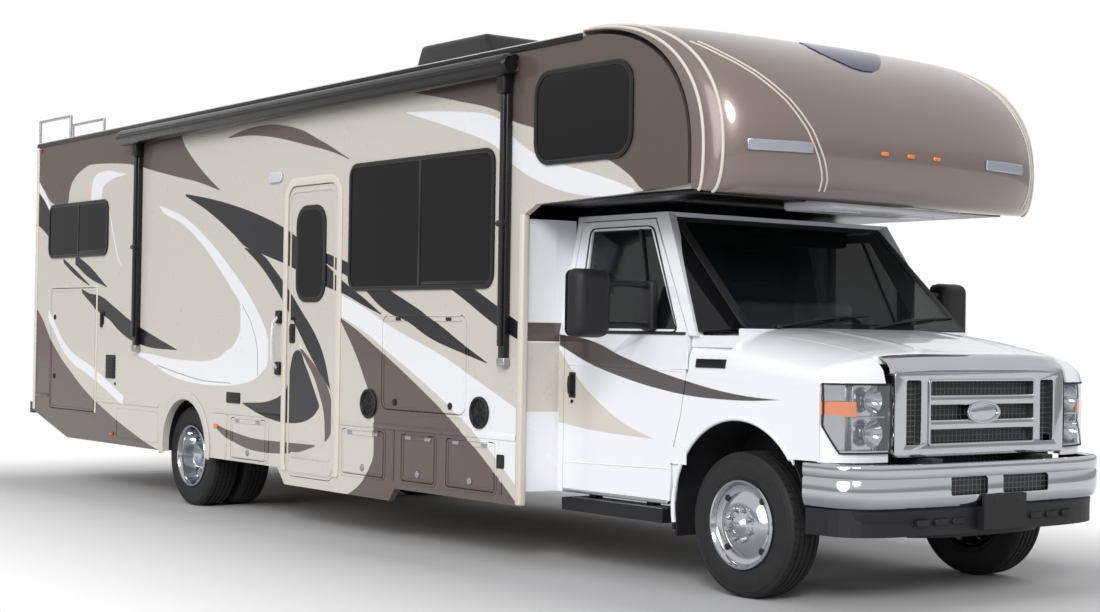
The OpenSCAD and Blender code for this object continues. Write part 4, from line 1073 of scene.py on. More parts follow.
def bumperBand(path, turn, half, face):  # an outline of (distance out, z) carried round the bumper
    n = len(path)
    band = fromMesh([bumperSpot((-90 + 180 * k / 96) * turn, o, z, half) for k in range(97) for o, z in path],
                    [(k * n + i, (k + 1) * n + i, (k + 1) * n + i + 1, k * n + i + 1) for k in range(96)
                     for i in range(n - 1)])
    return thicken(facing(band, 48 * (n - 1) + face, 0), 0.006)


def makeBumper():
    path = [(-0.055, 0.716), (-0.03, 0.722), (-0.012, 0.722), (-0.003, 0.716), (0.0, 0.706), (0.0, 0.664),
            (-0.004, 0.656), (-0.007, 0.652), (-0.004, 0.646), (0.0, 0.640), (0.0, 0.560), (-0.006, 0.532),
            (-0.016, 0.512), (-0.03, 0.502), (-0.055, 0.498)]
    face = bumperBand(path, 1.0, 1.0, 4)
    for y0, y1 in ((-0.392, -0.119), (0.0, 0.36)):
        cut(face, slab(0.78, 0.95, y0, y1, 0.563, 0.652, 0.012))
    done(face, "bumperFace", "root", "chrome", ["front_bumper"], 40)
    grid = [slab(0.842, 0.848, y0, y1, 0.545, 0.67, 0.002) for y0, y1 in ((-0.41, -0.10), (-0.02, 0.38))]
    grid.append(slab(0.575, 0.59, -0.655, 0.655, 0.62, 0.80, 0.004))
    brace = [slab(0.60, 0.80, s * 0.43 - 0.04, s * 0.43 + 0.04, 0.53, 0.68, 0.006) for s in (-1, 1)]
    done(together(grid, brace), "bumperGrids", "root", "mesh")
    low = [(-0.034, 0.502), (-0.026, 0.494), (-0.03, 0.44), (-0.048, 0.41), (-0.085, 0.392), (-0.13, 0.386)]
    pads = [bumperBand(low, 0.985, 0.99, 2)]
    for s in (-1, 1):
        for k in range(3):
            pads.append(slab(0.80, 0.846, s * 0.30 + s * 0.13 * k - 0.045, s * 0.30 + s * 0.13 * k + 0.045, 0.418,
                             0.45, 0.006))
    lip = gridPiece(30, 4, lambda u, v: (rowX(0.70 + 0.10 * (1 - (2 * u - 1) ** 4) - 0.02 * v), (2 * u - 1) * 0.5,
                                         0.392 - 0.045 * v))
    outward(lip)
    pads.append(thicken(lip, 0.01, 0))
    done(together(pads), "frontValance", "root", "black")
    holder = upright(rounded(-0.162, 0.162, 0.388, 0.556, 0.012), rowX(0.8815), rowX(0.8842), 0.001,
                     rounded(-0.135, 0.135, 0.408, 0.536, 0.006))
    webs = [slab(0.8815, 0.8838, y - 0.004, y + 0.004, 0.41, 0.535, 0.001) for y in (-0.05, 0.05)]
    done(together(holder, webs), "plateHolder", "root", "black")


makeHood()
makeFender()
makeBadge()
makeHeadlamp()
makeGrille()
makeBumper()
print("front of the cab made")


# Windshield surround, wipers, door details and mirrors
def screenSpot(s, t, lift=0.0):  # s runs across from -1 to 1, t up from 0 to 1
    x, z = -0.12 - 0.63 * t, 1.372 + 0.604 * t
    return Vector((rowX(x + lift * 0.69), s * (0.85 - 0.055 * t), z + lift * 0.72))


def sideSpot(x, z, lift=0.0):  # on the cab's leaning side above the belt line, z along the slope
    rise = z - 1.33
    return Vector((rowX(x), -(cabHalf - rise * math.sin(math.radians(11)) + lift),
                   1.33 + rise * math.cos(math.radians(11))))


def ringOn(outer, inner, spot, depth):
    n = len(outer)
    ring = fromMesh([spot(a, b) for a, b in outer] + [spot(a, b) for a, b in inner],
                    [(i, (i + 1) % n, n + (i + 1) % n, n + i) for i in range(n)])
    return edges(outward(thicken(ring, depth, 0)), 0.0015, 2)


def makeGlassTrim():
    seal = ringOn(rounded(-1.03, 1.03, -0.02, 1.02, 0.07), rounded(-0.955, 0.955, 0.045, 0.955, 0.05), lambda s,
                  t: screenSpot(s, t, 0.004), 0.006)
    done(seal, "windshieldSeal", "root", "rubber")

    def wrapSpot(u, v):  # the side of the screen turns back to the pillar
        a, b = screenSpot(-1.0, v, 0.002), sideSpot(-0.372 - 0.44 * v, 1.345 + 0.615 * v, -0.012)
        return a.lerp(b, u) + Vector((0.02, -0.02, 0)) * math.sin(math.pi * u)
    wrap = facing(gridPiece(8, 10, wrapSpot), 30, 0)
    bothSides(thicken(wrap, 0.004), "windshieldWrap", "root", "darkGlass")
    arms = []
    for y0, y1 in ((-0.62, -0.05), (0.08, 0.66)):
        a, b = screenSpot(y0 / 0.85, 0.0, 0.014), screenSpot(y1 / 0.85, 0.10, 0.018)
        arms.append(tube([a, a.lerp(b, 0.4) + Vector((0.008, 0, 0.008)), b], 0.006))
        c, d = screenSpot(y1 / 0.85 - 0.32, 0.075, 0.012), screenSpot(y1 / 0.85 + 0.22, 0.12, 0.012)
        arms.append(tube([c, d], 0.008))
        arms.append(rod(a - Vector((0.008, 0, 0.02)), a + Vector((0.006, 0, 0.012)), 0.018, 16, 0.004))
    done(together(arms), "wipers", "root", "black")
    pane = [(-0.500, 1.360), (-1.320, 1.360), (-1.350, 1.923), (-0.840, 1.923)]

    def offset(points, d):
        cx, cz = sum(p[0] for p in points) / 4, sum(p[1] for p in points) / 4
        return [(p[0] + math.copysign(d, p[0] - cx), p[1] + math.copysign(d * 0.8, p[1] - cz)) for p in points]

    def soften(points, r=0.05, n=5):
        out = []
        for k in range(len(points)):
            p, q, s = Vector(points[k - 1]), Vector(points[k]), Vector(points[(k + 1) % len(points)])
            a, b = q + (p - q).normalized() * r, q + (s - q).normalized() * r
            out += [tuple(a.lerp(q, t).lerp(q.lerp(b, t), t)) for t in [i / n for i in range(n + 1)]]
        return out
    ring = ringOn(soften(offset(pane, 0.022)), soften(offset(pane, -0.014)), lambda x, z: sideSpot(x, z, 0.003), 0.006)
    a, b = sideSpot(-0.72, 1.36, -0.002), sideSpot(-0.93, 1.92, -0.002)
    divider = tube([a, b], 0.009, 3)
    sill = tube([sideSpot(-0.42, 1.338, 0.004), sideSpot(-1.40, 1.338, 0.004)], 0.008, 3)
    bothSides(together(ring, divider, sill), "doorGlassSeal", "cab_door_SIDE", "rubber")
    cup = slab(-1.405, -1.345, -1.004, -0.995, 0.965, 1.11, 0.004)
    grip = rowTube([(-1.375, y, z) for y, z in ((-1.002, 1.092), (-1.022, 1.082), (-1.026, 1.04), (-1.022, 0.995),
                                                (-1.002, 0.985))], 0.011)
    lock = rod((rowX(-1.375), -0.999, 0.945), (rowX(-1.375), -1.006, 0.945), 0.011, 20, 0.002)
    bothSides(together(cup, grip, lock), "doorHandle", "cab_door_SIDE", "black")
    rail = slab(-1.43, -0.535, -1.012, -0.985, 0.432, 0.452, 0.006)
    bothSides(rail, "sillTrim", "root", "alu")
    pads = [slab(-1.38, -0.60, -0.99 + 0.035 * k, -0.975 + 0.035 * k, 0.399, 0.406, 0.002) for k in range(4)]
    bothSides(together(pads), "stepTread", "root", "alu")
    crease = rowTube([(-0.43, -1.0, 1.138), (-0.9, -1.0, 1.148), (-1.43, -1.0, 1.152)], 0.0035, 2)
    low = rowTube([(-0.53, -1.0, 0.62), (-0.9, -1.0, 0.61), (-1.43, -1.0, 0.60)], 0.0035, 2)
    bothSides(together(crease, low), "doorCreases", "cab_door_SIDE", "cab")


def mirrorFace(piece, x):  # turned from an outline in x and z to face the rear
    for spot in piece.data.vertices:
        spot.co = (rowX(x) + spot.co.y, spot.co.x, spot.co.z)
    return outward(piece)


def makeMirror():
    clear()
    bpy.ops.mesh.primitive_cube_add(size=1, location=(rowX(-0.70), -1.425, 1.49))
    head = bpy.context.object
    head.scale = (0.12, 0.25, 0.375)
    settle(head)
    for spot in head.data.vertices:
        if spot.co.x > rowX(-0.70):
            spot.co.y = -1.425 + (spot.co.y + 1.425) * 0.86
            spot.co.z = 1.49 + (spot.co.z - 1.49) * 0.9
    edges(head, 0.045, 6)
    arms = [rowTube([(-0.705, -1.006, z - 0.01), (-0.70, -1.06, z), (-0.70, -1.15, z + 0.004), (-0.70, -1.32, z)],
                    0.017, 5)
            for z in (1.375, 1.595)]
    foot = slab(-0.745, -0.655, -1.035, -0.985, 1.35, 1.62, 0.014)
    edge = raised(rounded(-1.54, -1.31, 1.315, 1.665, 0.04), 0, 0.006, 0.002,
                  rounded(-1.525, -1.325, 1.33, 1.65, 0.035))
    bothSides(together(head, arms, foot, mirrorFace(edge, -0.763)), "mirrorHead", "cab_door_SIDE", "black",
              ["mirror_SIDE"])
    glass = []
    for z0, z1 in ((1.435, 1.645), (1.335, 1.42)):
        pane = raised(rounded(-1.52, -1.33, z0, z1, 0.03), 0, 0.004, 0.001)
        glass.append(mirrorFace(pane, -0.7635))
    bothSides(together(glass), "mirrorGlass", "cab_door_SIDE", "chrome")


makeGlassTrim()
makeMirror()
print("cab trim made")

# Coach sides: trims, frames, latches, lamps and awning
windowSet = {"rear": (-8.338, -7.158, 1.92, 2.34, 0.07), "main": (-3.38, -1.81, 1.60, 2.38, 0.07),
             "bunk": (-1.40, -0.58, 2.28, 2.77, 0.12)}
doorSet = {"frame": (-4.19, -3.55, 0.34, 2.29, 0.09), "pane": (-4.05, -3.72, 1.54, 2.13, 0.10)}
lidSet = {  # body: x0, x1, z0, z1, corner, places of the latches
    "rear_locker_right": (-8.288, -7.368, 0.63, 1.64, 0.025, [(-8.20, 1.40), (-8.20, 0.90)]),
    "media_locker": (-2.98, -2.06, 0.84, 1.42, 0.06, [(-2.83, 0.885), (-2.22, 0.885)]),
    "step_hatch": (-3.45, -2.95, 0.41, 0.69, 0.02, [(-3.20, 0.455)]),
    "middle_hatch": (-2.74, -2.38, 0.41, 0.69, 0.02, [(-2.56, 0.455)]),
    "front_hatch": (-2.25, -1.76, 0.41, 0.69, 0.02, [(-2.005, 0.455)]),
    "wheel_hatch": (-4.978, -4.478, 0.41, 0.69, 0.02, [(-4.73, 0.455)]),
}


def flat(x0, x1, z0, z1, radius, grow=0.0):
    return rounded(rowX(x0), rowX(x1), z0, z1, radius, 8, grow)


def sidePlate(x0, x1, z0, z1, corner, out, radius, foot=wallY, **more):  # a plate on the coach's right side
    return raised(flat(x0, x1, z0, z1, corner), -foot, -out, radius, **more)


def sideRing(spot, outer, inner, out, radius, foot=wallY):  # a ring around an opening of the right side
    return raised(flat(*spot, outer), -foot, -out, radius, flat(*spot, inner))


def makeWindows():
    for name, spot in windowSet.items():
        x0, x1, z0, z1 = spot[:4]
        parts = [sideRing(spot, 0.020, -0.008, 1.2695, 0.003, 1.2635)]
        if name != "bunk":
            mid = x0 + (x1 - x0) * 0.515
            parts.append(slab(mid - 0.012, mid + 0.012, -1.268, -1.262, z0, z1, 0.002))
            parts.append(slab(mid + 0.02, x1 - 0.02, -1.2665, -1.262, z0 + 0.012, z0 + 0.030, 0.002))
        bothSides(together(parts), f"{name}WindowFrame", "root", "satin")


def makeEntry():
    door = doorSet["frame"]
    border = sideRing(door, 0.062, 0.006, 1.268, 0.005)
    cut(border, slab(door[0] - 0.2, door[1] + 0.2, -1.3, -1.2, 0.2, 0.372))
    done(border, "entryFrame", "root", "cream")
    done(sideRing(door, -0.022, -0.040, 1.2615, 0.002), "entryDoorBead", "entry_door", "beigeTrim")
    ring = sideRing(doorSet["pane"], 0.030, -0.006, 1.2665, 0.004)
    latch = sidePlate(-4.155, -4.085, 1.235, 1.365, 0.015, 1.266, 0.003)
    paddle = sidePlate(-4.145, -4.095, 1.285, 1.345, 0.01, 1.2735, 0.003, 1.265)
    keys = [rod((rowX(-4.12), -1.264, z), (rowX(-4.12), -1.271, z), 0.012, 16, 0.002) for z in (1.258, 1.40)]
    done(together(ring, latch, paddle, keys), "entryDoorFittings", "entry_door", "black")
    kick = sidePlate(-4.12, -3.62, 0.46, 0.50, 0.01, 1.260, 0.002)
    done(kick, "entryDoorKick", "entry_door", "beigeTrim")
    hinge = rod((rowX(-3.5475), -1.2623, 0.42), (rowX(-3.5475), -1.2623, 2.2), 0.0042, 12)
    done(hinge, "entryDoorHinge", "entry_door", "alu")
    ends = [slab(-4.325, -4.265, -1.285, -wallY, z - 0.045, z + 0.045, 0.010) for z in (1.41, 1.06)]
    done(together(ends), "grabHandleEnds", "root", "black")
    bar = rowTube([(-4.295, y, z) for y, z in ((-1.275, 1.06), (-1.315, 1.10), (-1.322, 1.235), (-1.315, 1.37),
                                               (-1.275, 1.41))], 0.012, 5)
    done(bar, "grabHandle", "root", "lens")
    porch = sidePlate(-4.475, -4.285, 2.335, 2.41, 0.036, 1.275, 0.008, steps=4)
    done(porch, "porchLamp", "root", "lens")
    step = slab(-4.14, -3.60, -1.20, -0.95, 0.425, 0.448, 0.006)
    done(step, "entryTread", "root", "black")


def makeLids():
    for body, (*spot, latches) in lidSet.items():
        x0, x1, z1 = spot[0], spot[1], spot[3]
        bead = sideRing(spot, -0.004, -0.020, 1.2605, 0.0015)
        rim = sideRing(spot, 0.022, 0.006, 1.2600, 0.0015)
        marks = []
        for x, z in latches:
            marks.append(rod((rowX(x), -wallY, z), (rowX(x), -1.264, z), 0.022, 24, 0.003))
            marks.append(slab(x - 0.006, x + 0.006, -1.2665, -1.262, z - 0.017, z + 0.017, 0.002))
        if body == "rear_locker_right":
            bothSides(bead, "rearLockerBead", "rear_locker_SIDE", "coach")
            bothSides(rim, "rearLockerRim", "root", "coach")
            bothSides(together(marks), "rearLockerLatches", "rear_locker_SIDE", "black")
            continue
        middle, wide = (x0 + x1) / 2, (x1 - x0) * 0.6
        hinges = [slab(x - 0.03, x + 0.03, -1.264, -wallY, z1 - 0.028, z1 - 0.006, 0.002)
                  for x in (middle - wide / 2, middle + wide / 2)]
        done(bead, body + "Bead", body, "coach")
        done(rim, body + "Rim", "root", "coach")
        done(together(marks, hinges), body + "Latches", body, "black" if z1 > 1 else "alu")


def makeSideTrims():
    runs = [(-8.645, -8.32), (-7.345, -6.16), (-5.26, -4.27), (-3.47, -1.56)]
    belt = [slab(a, b, -1.2625, -wallY, 0.713, 0.748, 0.0025) for a, b in runs]
    uprights = [slab(-1.552, -1.505, -1.266, -1.22, 0.352, 2.0, 0.010),
                slab(-7.352, -7.325, -1.263, -wallY, 0.62, 1.66, 0.003),
                slab(-8.648, -8.60, -1.266, -wallY, 0.60, 2.90, 0.004)]
    lower = [slab(x - 0.012, x + 0.012, -1.262, -wallY, 0.40, 0.71, 0.003) for x in (-5.06, -4.44, -2.84, -1.70)]
    bothSides(together(belt, lower), "sideBelt", "root", "coach")
    bothSides(together(uprights), "sideTrims", "root", "cream")
    cx, cz = rowX(-5.712), 0.44
    arch, wide = ([onCircle(cx, cz, r, a) for a in range(-10, 191, 5)] for r in (0.352, 0.415))
    n = len(arch)
    ring = fromMesh([(x, -wallY, z) for x, z in arch + wide], [(i, i + 1, n + i + 1, n + i) for i in range(n - 1)])
    bothSides(edges(outward(drawn(ring, -0.016)), 0.006, 3), "wheelArchTrim", "root", "beigeTrim")
    liner = fromMesh([(x, y, z) for y in (-1.215, -0.69) for x,
                      z in (onCircle(cx, cz, 0.355, a) for a in range(-8, 189, 7))],
                     [(i, i + 1, 29 + i + 1, 29 + i) for i in range(28)])
    bothSides(thicken(outward(liner), 0.005, 1), "wheelArchLiner", "root", "black")
    rings, cones = [], []
    for x, z in ((-3.13, 0.865), (-1.915, 0.86)):
        rings.append(lathe([(0.0, 0.094), (0.012, 0.094), (0.016, 0.088), (0.014, 0.078), (0.004, 0.072),
                            (0.0, 0.071)], (rowX(x), -wallY, z), -1, 40))
        cones.append(lathe([(0.003, 0.074), (0.004, 0.06), (0.009, 0.05), (0.005, 0.03), (0.010, 0.015),
                            (0.011, 0.0005)], (rowX(x), -wallY, z), -1, 40))
        for a in (0, 45, 90, 135):  # bars over the cone
            ends = (onCircle(x, z, r, a) for r in (0.072, -0.072))
            cones.append(tube([(rowX(p), -1.268, q) for p, q in ends], 0.0022, 2))
    done(together(rings, cones), "outsideSpeakers", "root", "black")
    vent = [sidePlate(-7.14, -6.96, 0.91, 1.10, 0.012, 1.264, 0.003)]
    vent += [slab(-7.125, -6.975, -1.270, -1.263, 0.925 + 0.026 * k, 0.937 + 0.026 * k, 0.003) for k in range(6)]
    handle = sidePlate(-7.265, -7.195, 1.345, 1.455, 0.012, 1.265, 0.003)
    pull = sidePlate(-7.245, -7.215, 1.32, 1.44, 0.008, 1.275, 0.003, 1.264)
    small = sidePlate(-5.05, -4.85, 0.795, 0.872, 0.01, 1.266, 0.003)
    screw = rod((rowX(-6.96), -wallY, 0.87), (rowX(-6.96), -1.264, 0.87), 0.012, 16, 0.003)
    outlet = sidePlate(-1.735, -1.665, 0.55, 0.63, 0.01, 1.265, 0.003)
    done(together(vent, handle, pull, small, screw, outlet), "sideFittings", "root", "black")
    panel = sideRing((-6.93, -6.17, 0.44, 0.69, 0.02), 0.0, -0.012, 1.2600, 0.001)
    done(panel, "rearPanelBead", "root", "coach")
    red = sidePlate(-7.03, -6.97, 0.455, 0.485, 0.012, 1.268, 0.004)
    bothSides(red, "sideMarkerRed", "root", "red")
    ambers = together([sidePlate(x - 0.03, x + 0.03, z - 0.016, z + 0.016, 0.012, 1.268, 0.004)
                       for x, z in ((-5.21, 0.62), (-1.62, 2.83))])
    bothSides(ambers, "sideMarkerAmber", "root", "amber")
    topRed = sidePlate(-8.60, -8.54, 2.83, 2.86, 0.012, 1.268, 0.004)
    bothSides(topRed, "topMarkerRed", "root", "red")
    (x0, z0), (x1, z1) = (-8.645, 2.893), (-1.0, 2.951)  # the roof's lower edge
    corners = [(x0, z0 - 0.022), (x1, z1 - 0.022), (x1, z1 + 0.012), (x0, z0 + 0.012)]
    rail = fromMesh([(rowX(x), -wallY, z) for x, z in corners], [(0, 1, 2, 3)])
    bothSides(edges(outward(drawn(rail, -0.012)), 0.004), "roofEdgeRail", "root", "satin")


awningSet = {"from": -6.75, "to": -1.56, "arms": (-6.54, -1.66), "radius": 0.062, "armLow": 1.15}


def makeAwning():
    start, end, radius, low = (awningSet[key] for key in ("from", "to", "radius", "armLow"))
    long, z = end - start, 2.83
    y = max(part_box("awning")[0].y + radius, -halfWidth - 0.075)
    case = lathe([(0.0, 0.0005), (0.0, 0.045), (0.012, 0.058), (0.03, radius), (long - 0.03, radius),
                  (long - 0.012, 0.058), (long, 0.045), (long, 0.0005)], (0, 0, 0), 1, 40)
    case.rotation_euler = (0, 0, math.radians(-90))
    case.location = (rowX(start), y, z)
    settle(case)
    lift = (2.951 - 2.893) / 7.645
    groove = tube([(rowX(start + 0.05), y - 0.058, z + 0.02 - 2.6 * lift),
                   (rowX(end - 0.05), y - 0.058, z + 0.02 + 2.5 * lift)], 0.005)
    hood = slab(start + 0.02, end - 0.02, y + 0.01, -1.258, z + 0.035, z + 0.062, 0.01)
    for spot in list(case.data.vertices) + list(hood.data.vertices):
        spot.co.z += (spot.co.x - rowX(-4.1)) * lift
    arms, feet = [], []
    for x in awningSet["arms"]:
        top = z + (x + 4.1) * lift
        arms.append(slab(x - 0.030, x + 0.030, -1.300, -1.259, low + 0.03, top, 0.008))
        arms.append(slab(x - 0.018, x + 0.018, -1.318, -1.296, low + 0.10, top - 0.10, 0.006))
        arms.append(slab(x - 0.040, x + 0.040, -1.335, -1.262, top - 0.16, top + 0.03, 0.016))
        arms.append(rod((rowX(x - 0.034), -1.312, 1.95), (rowX(x + 0.034), -1.312, 1.95), 0.018, 20, 0.004))
        feet.append(slab(x - 0.038, x + 0.038, -1.305, -1.2575, low - 0.015, low + 0.035, 0.008))
    for x in awningSet["arms"]:
        for s in (-1, 1):
            feet.append(rod((rowX(x + s * 0.02), -1.303, low + 0.01), (rowX(x + s * 0.02), -1.309, low + 0.01), 0.008,
                            12, 0.002))
    done(together(case, groove, hood, arms), "awningCase", "root", "satin", ["awning"])
    done(together(feet), "awningFeet", "root", "alu")


def makeRoof():
    lo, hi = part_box("roof_air_conditioner")
    unit = block(lo.x, hi.x, lo.y, hi.y, lo.z, hi.z)
    editAll(unit, bpy.ops.mesh.subdivide, number_cuts=6)
    for spot in unit.data.vertices:
        up = (spot.co.z - lo.z) / (hi.z - lo.z)
        ahead = (spot.co.x - lo.x) / (hi.x - lo.x)
        if up > 0.05:
            spot.co.x -= 0.16 * up ** 1.5 * max(0, ahead - 0.5) * 2
            spot.co.x += 0.07 * up ** 1.5 * max(0, 0.5 - ahead) * 2
            spot.co.y *= 1 - 0.12 * up
    edges(unit, 0.03, 4, 30)
    side = hi.y - 0.012
    slats = [block(lo.x + 0.10 + 0.05 * k, lo.x + 0.125 + 0.05 * k, s * side - 0.012, s * side + 0.006, lo.z + 0.09,
                   lo.z + 0.20, 0.003)
             for k in range(7) for s in (-1, 1)]
    done(together(unit, slats), "roofCooler", "root", "satin", ["roof_air_conditioner"], 40)
    hatches, lids = [], []
    for x, y in ((-6.6, -0.3), (-7.9, 0.45), (-5.2, 0.5)):
        base = between([(-8.65, 2.912), (-1.0, 2.97)], x) + 0.035 - 0.04 * (y / halfWidth) ** 2
        hatches.append(slab(x - 0.2, x + 0.2, y - 0.2, y + 0.2, base - 0.02, base + 0.035, 0.010))
        lids.append(slab(x - 0.215, x + 0.215, y - 0.215, y + 0.215, base + 0.037, base + 0.085, 0.030, 4))
    pipe = rod((rowX(-7.2), 0.8, 2.88), (rowX(-7.2), 0.8, 3.02), 0.035, 20, 0.004)
    done(together(hatches, pipe), "roofVentBases", "root", "whiteTrim")
    done(together(lids), "roofVentLids", "root", "whiteTrim")


def makeRear():
    lamps, reds, backs = [], [], []
    face = rowX(-8.648)
    for s in (-1, 1):
        y = s * 1.10
        backs.append(block(face - 0.018, face + 0.004, y - 0.085, y + 0.085, 0.80, 1.42, 0.012))
        reds.append(block(face - 0.036, face - 0.012, y - 0.07, y + 0.07, 1.20, 1.40, 0.014))
        reds.append(block(face - 0.036, face - 0.012, y - 0.07, y + 0.07, 0.98, 1.18, 0.014))
        lamps.append(block(face - 0.036, face - 0.012, y - 0.07, y + 0.07, 0.82, 0.96, 0.014))
    for y in (-0.2, 0.0, 0.2, -1.12, 1.12):
        reds.append(block(face - 0.016, face + 0.002, y - 0.035, y + 0.035, 2.80, 2.825, 0.007))
    done(together(backs), "tailLampHousings", "root", "black")
    done(together(reds), "tailLamps", "root", "red")
    done(together(lamps), "reverseLamps", "root", "lens")
    trims = [block(face - 0.008, face + 0.002, -1.21, 1.21, z - 0.016, z + 0.016, 0.004) for z in (0.73, 2.72)]
    trims += [block(face - 0.010, face + 0.002, s * 1.235 - 0.018, s * 1.235 + 0.018, 0.60, 2.87, 0.004)
              for s in (-1, 1)]
    done(together(trims), "rearTrims", "root", "cream")
    plate = block(face - 0.012, face + 0.002, 0.50, 0.85, 0.86, 1.05, 0.006)
    bolts = [rod((face - 0.010, 0.675 + a, 0.955 + b), (face - 0.016, 0.675 + a, 0.955 + b), 0.007, 12, 0.001)
             for a in (-0.1, 0.1) for b in (-0.06, 0.06)]
    done(together(plate, bolts), "rearPlateHolder", "root", "black")
    eye = block(face - 0.07, face + 0.002, -0.06, 0.06, 2.60, 2.66, 0.014)
    done(eye, "rearCameraHousing", "root", "whiteTrim")
    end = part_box("rear_bumper")[0].x
    grip = [block(end + 0.01, end + 0.07, y - 0.10, y + 0.10, 0.662, 0.667, 0.001)
            for y in (-0.9, -0.55, 0.0, 0.55, 0.9)]
    done(together(grip), "rearBumperTreads", "root", "alu")


def makeLeftSide():  # hidden side: service hatches of the usual kind, at usual places
    parts = []
    for x0, x1, z0, z1 in ((-3.3, -2.7, 0.42, 0.68), (-5.1, -4.5, 0.42, 0.68), (-6.95, -6.45, 0.78, 1.20),
                           (-4.4, -4.1, 1.1, 1.4)):
        parts.append(raised(flat(x0, x1, z0, z1, 0.02), wallY, 1.2605, 0.0015, flat(x0, x1, z0, z1, 0.02, -0.014)))
        parts.append(rod((rowX((x0 + x1) / 2), wallY, z0 + 0.05), (rowX((x0 + x1) / 2), 1.264, z0 + 0.05), 0.02, 20,
                         0.003))
    done(together(parts), "serviceHatchBeads", "root", "coach")
    vent = [raised(flat(-5.6, -5.1, 1.05, 1.45, 0.015), wallY, 1.264, 0.003)]
    vent += [slab(-5.57, -5.13, 1.262, 1.269, 1.08 + 0.035 * k, 1.098 + 0.035 * k, 0.003) for k in range(10)]
    fill = [raised(flat(-1.82, -1.64, 1.02, 1.20, 0.03), wallY, 1.266, 0.004),
            rod((rowX(-1.73), 1.264, 1.11), (rowX(-1.73), 1.275, 1.11), 0.05, 28, 0.006)]
    cable = [rod((rowX(-7.1), wallY, 0.95), (rowX(-7.1), 1.275, 0.95), 0.055, 28, 0.008)]
    done(together(vent, fill, cable), "serviceVents", "root", "whiteTrim")


makeWindows()
makeEntry()
makeLids()
makeSideTrims()
makeAwning()
makeRoof()
makeRear()
makeLeftSide()
print("coach trim made")


# Inside of the cab: seats, dashboard, steering column and linings
seatSet = {  # piece: width, depth, thickness, crown, x, z, tilt, seams
    "seatCushion": (0.49, 0.50, 0.13, 0.014, -1.12, 1.02, -4, True),
    "seatBack": (0.47, 0.60, 0.10, 0.012, -1.385, 1.36, -80, True),
    "headrest": (0.25, 0.19, 0.085, 0.010, -1.43, 1.765, -82, False),
}


def cushion(name, y, width, depth, thick, crown, x, z, tilt, seams):
    clear()
    bpy.ops.mesh.primitive_cube_add(size=1)
    pad = bpy.context.object
    pad.scale = (depth, width, thick)
    settle(pad)
    editAll(pad, bpy.ops.mesh.subdivide, number_cuts=13)
    for spot in pad.data.vertices:
        u, v, w = spot.co.x / depth * 2, spot.co.y / width * 2, spot.co.z / thick * 2
        puff = (1 - u ** 4) * (1 - v ** 4)
        spot.co.z += w * crown * puff
        spot.co.x *= 1 - 0.05 * abs(v) ** 3
        spot.co.y *= 1 - 0.07 * abs(u) ** 3
        bolster = math.exp(-((abs(v) - 0.78) / 0.16) ** 2)
        if w > 0.9:
            spot.co.z += 0.022 * bolster * (1 - u ** 4)
            if seams:
                side, across = math.exp(-((abs(v) - 0.55) / 0.05) ** 2), math.exp(-((u - 0.1) / 0.05) ** 2)
                spot.co.z -= 0.010 * side + 0.008 * across * (abs(v) < 0.55)
    edges(pad, 0.03, 3, 50)
    soft = pad.modifiers.new("soft", "SUBSURF")
    soft.levels = soft.render_levels = 1
    bpy.ops.object.modifier_apply(modifier=soft.name)
    pad.rotation_euler = (0, math.radians(tilt), 0)
    pad.location = (rowX(x), y, z)
    settle(pad)
    done(pad, name, "root", "cloth", ["cab_seats"], 180)


def makeSeats():
    for y, word in ((0.45, "left"), (-0.45, "right")):
        for name, row in seatSet.items():
            cushion(f"{name}_{word}", y, *row)
        posts = [rod((rowX(-1.42), y + s, 1.62), (rowX(-1.43), y + s, 1.72), 0.007, 12) for s in (-0.05, 0.05)]
        base = slab(-1.35, -0.90, y - 0.20, y + 0.20, 0.771, 0.93, 0.015)
        done(together(base, posts), f"seatBase_{word}", "root", "black")


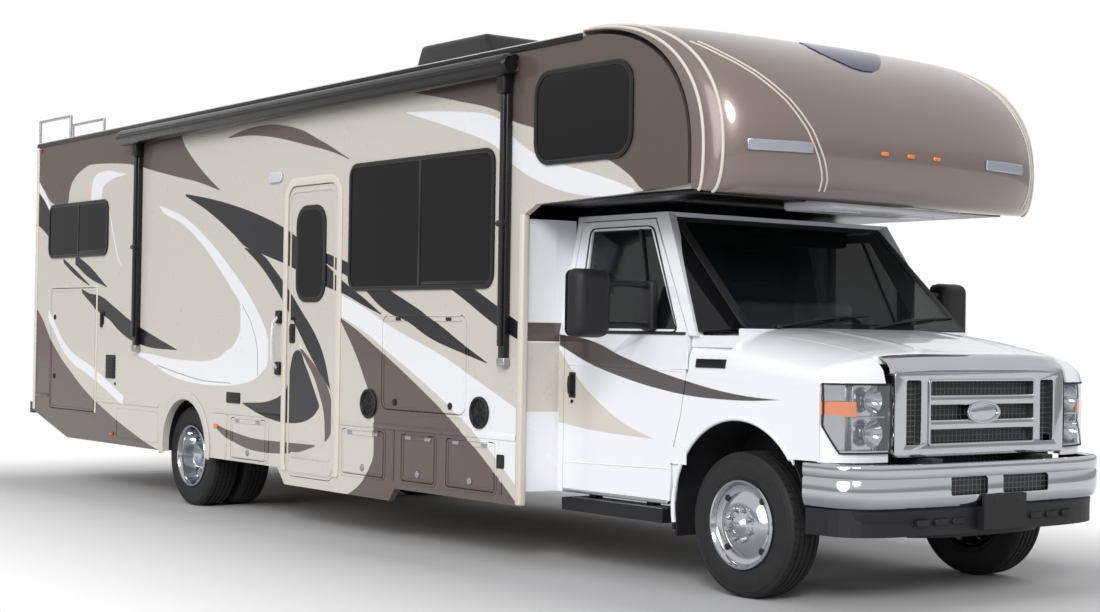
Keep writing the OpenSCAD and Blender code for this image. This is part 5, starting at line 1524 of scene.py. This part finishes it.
def makeDash():
    half = 0.855
    path = [(-0.16, 1.0), (-0.16, 1.335), (-0.20, 1.352), (-0.30, 1.346), (-0.40, 1.325), (-0.455, 1.295),
            (-0.468, 1.26), (-0.455, 1.20), (-0.44, 1.10), (-0.40, 1.0)]
    n = len(path)
    spots, faces = [], []
    for k in range(25):
        y = -half + 2 * half * k / 24
        bump = 0.032 * math.exp(-((y - 0.40) / 0.20) ** 4)
        for x, z in path:
            over = 1.0 if z > 1.28 and x < -0.28 else 0.0
            spots.append((rowX(x - 0.03 * over * (bump / 0.032)), y, z + bump * over))
    for k in range(24):
        faces += [(k * n + i, k * n + (i + 1) % n, (k + 1) * n + (i + 1) % n, (k + 1) * n + i) for i in range(n)]
    faces += [tuple(range(n)), tuple(24 * n + i for i in range(n - 1, -1, -1))]
    body = edges(outward(fromMesh(spots, faces)), 0.008, 2, 30)
    column = rod((rowX(-0.45), 0.4, 1.17), (rowX(-0.615), 0.4, 1.247), 0.034, 24, 0.008)
    vents = [slab(-0.475, -0.462, y - 0.07, y + 0.07, 1.225, 1.275, 0.006) for y in (-0.70, -0.12, 0.12, 0.72)]
    stack = slab(-0.475, -0.455, -0.12, 0.13, 1.05, 1.20, 0.008)
    glove = slab(-0.462, -0.44, -0.72, -0.24, 1.05, 1.19, 0.01)
    done(together(body, column, vents, stack, glove), "dashPanel", "root", "dash", ["dashboard"])
    lining = [slab(-1.36, -0.80, -0.78, 0.78, 1.955, 1.975, 0.01)]
    lining += [slab(-0.90, -0.80, y0, y1, 1.86, 1.95, 0.02) for y0, y1 in ((-0.62, -0.20), (0.20, 0.62))]
    lining.append(slab(-0.74, -0.70, -0.12, 0.12, 1.86, 1.92, 0.015))
    done(together(lining), "headlining", "root", "dash")
    panels = [slab(-1.40, -0.55, -0.944, -0.93, 0.60, 1.30, 0.02), slab(-1.25, -0.75, -0.93, -0.885, 1.06, 1.12, 0.02)]
    bothSides(together(panels), "doorLining", "cab_door_SIDE", "dash")


makeSeats()
makeDash()
print("inside of the cab made")
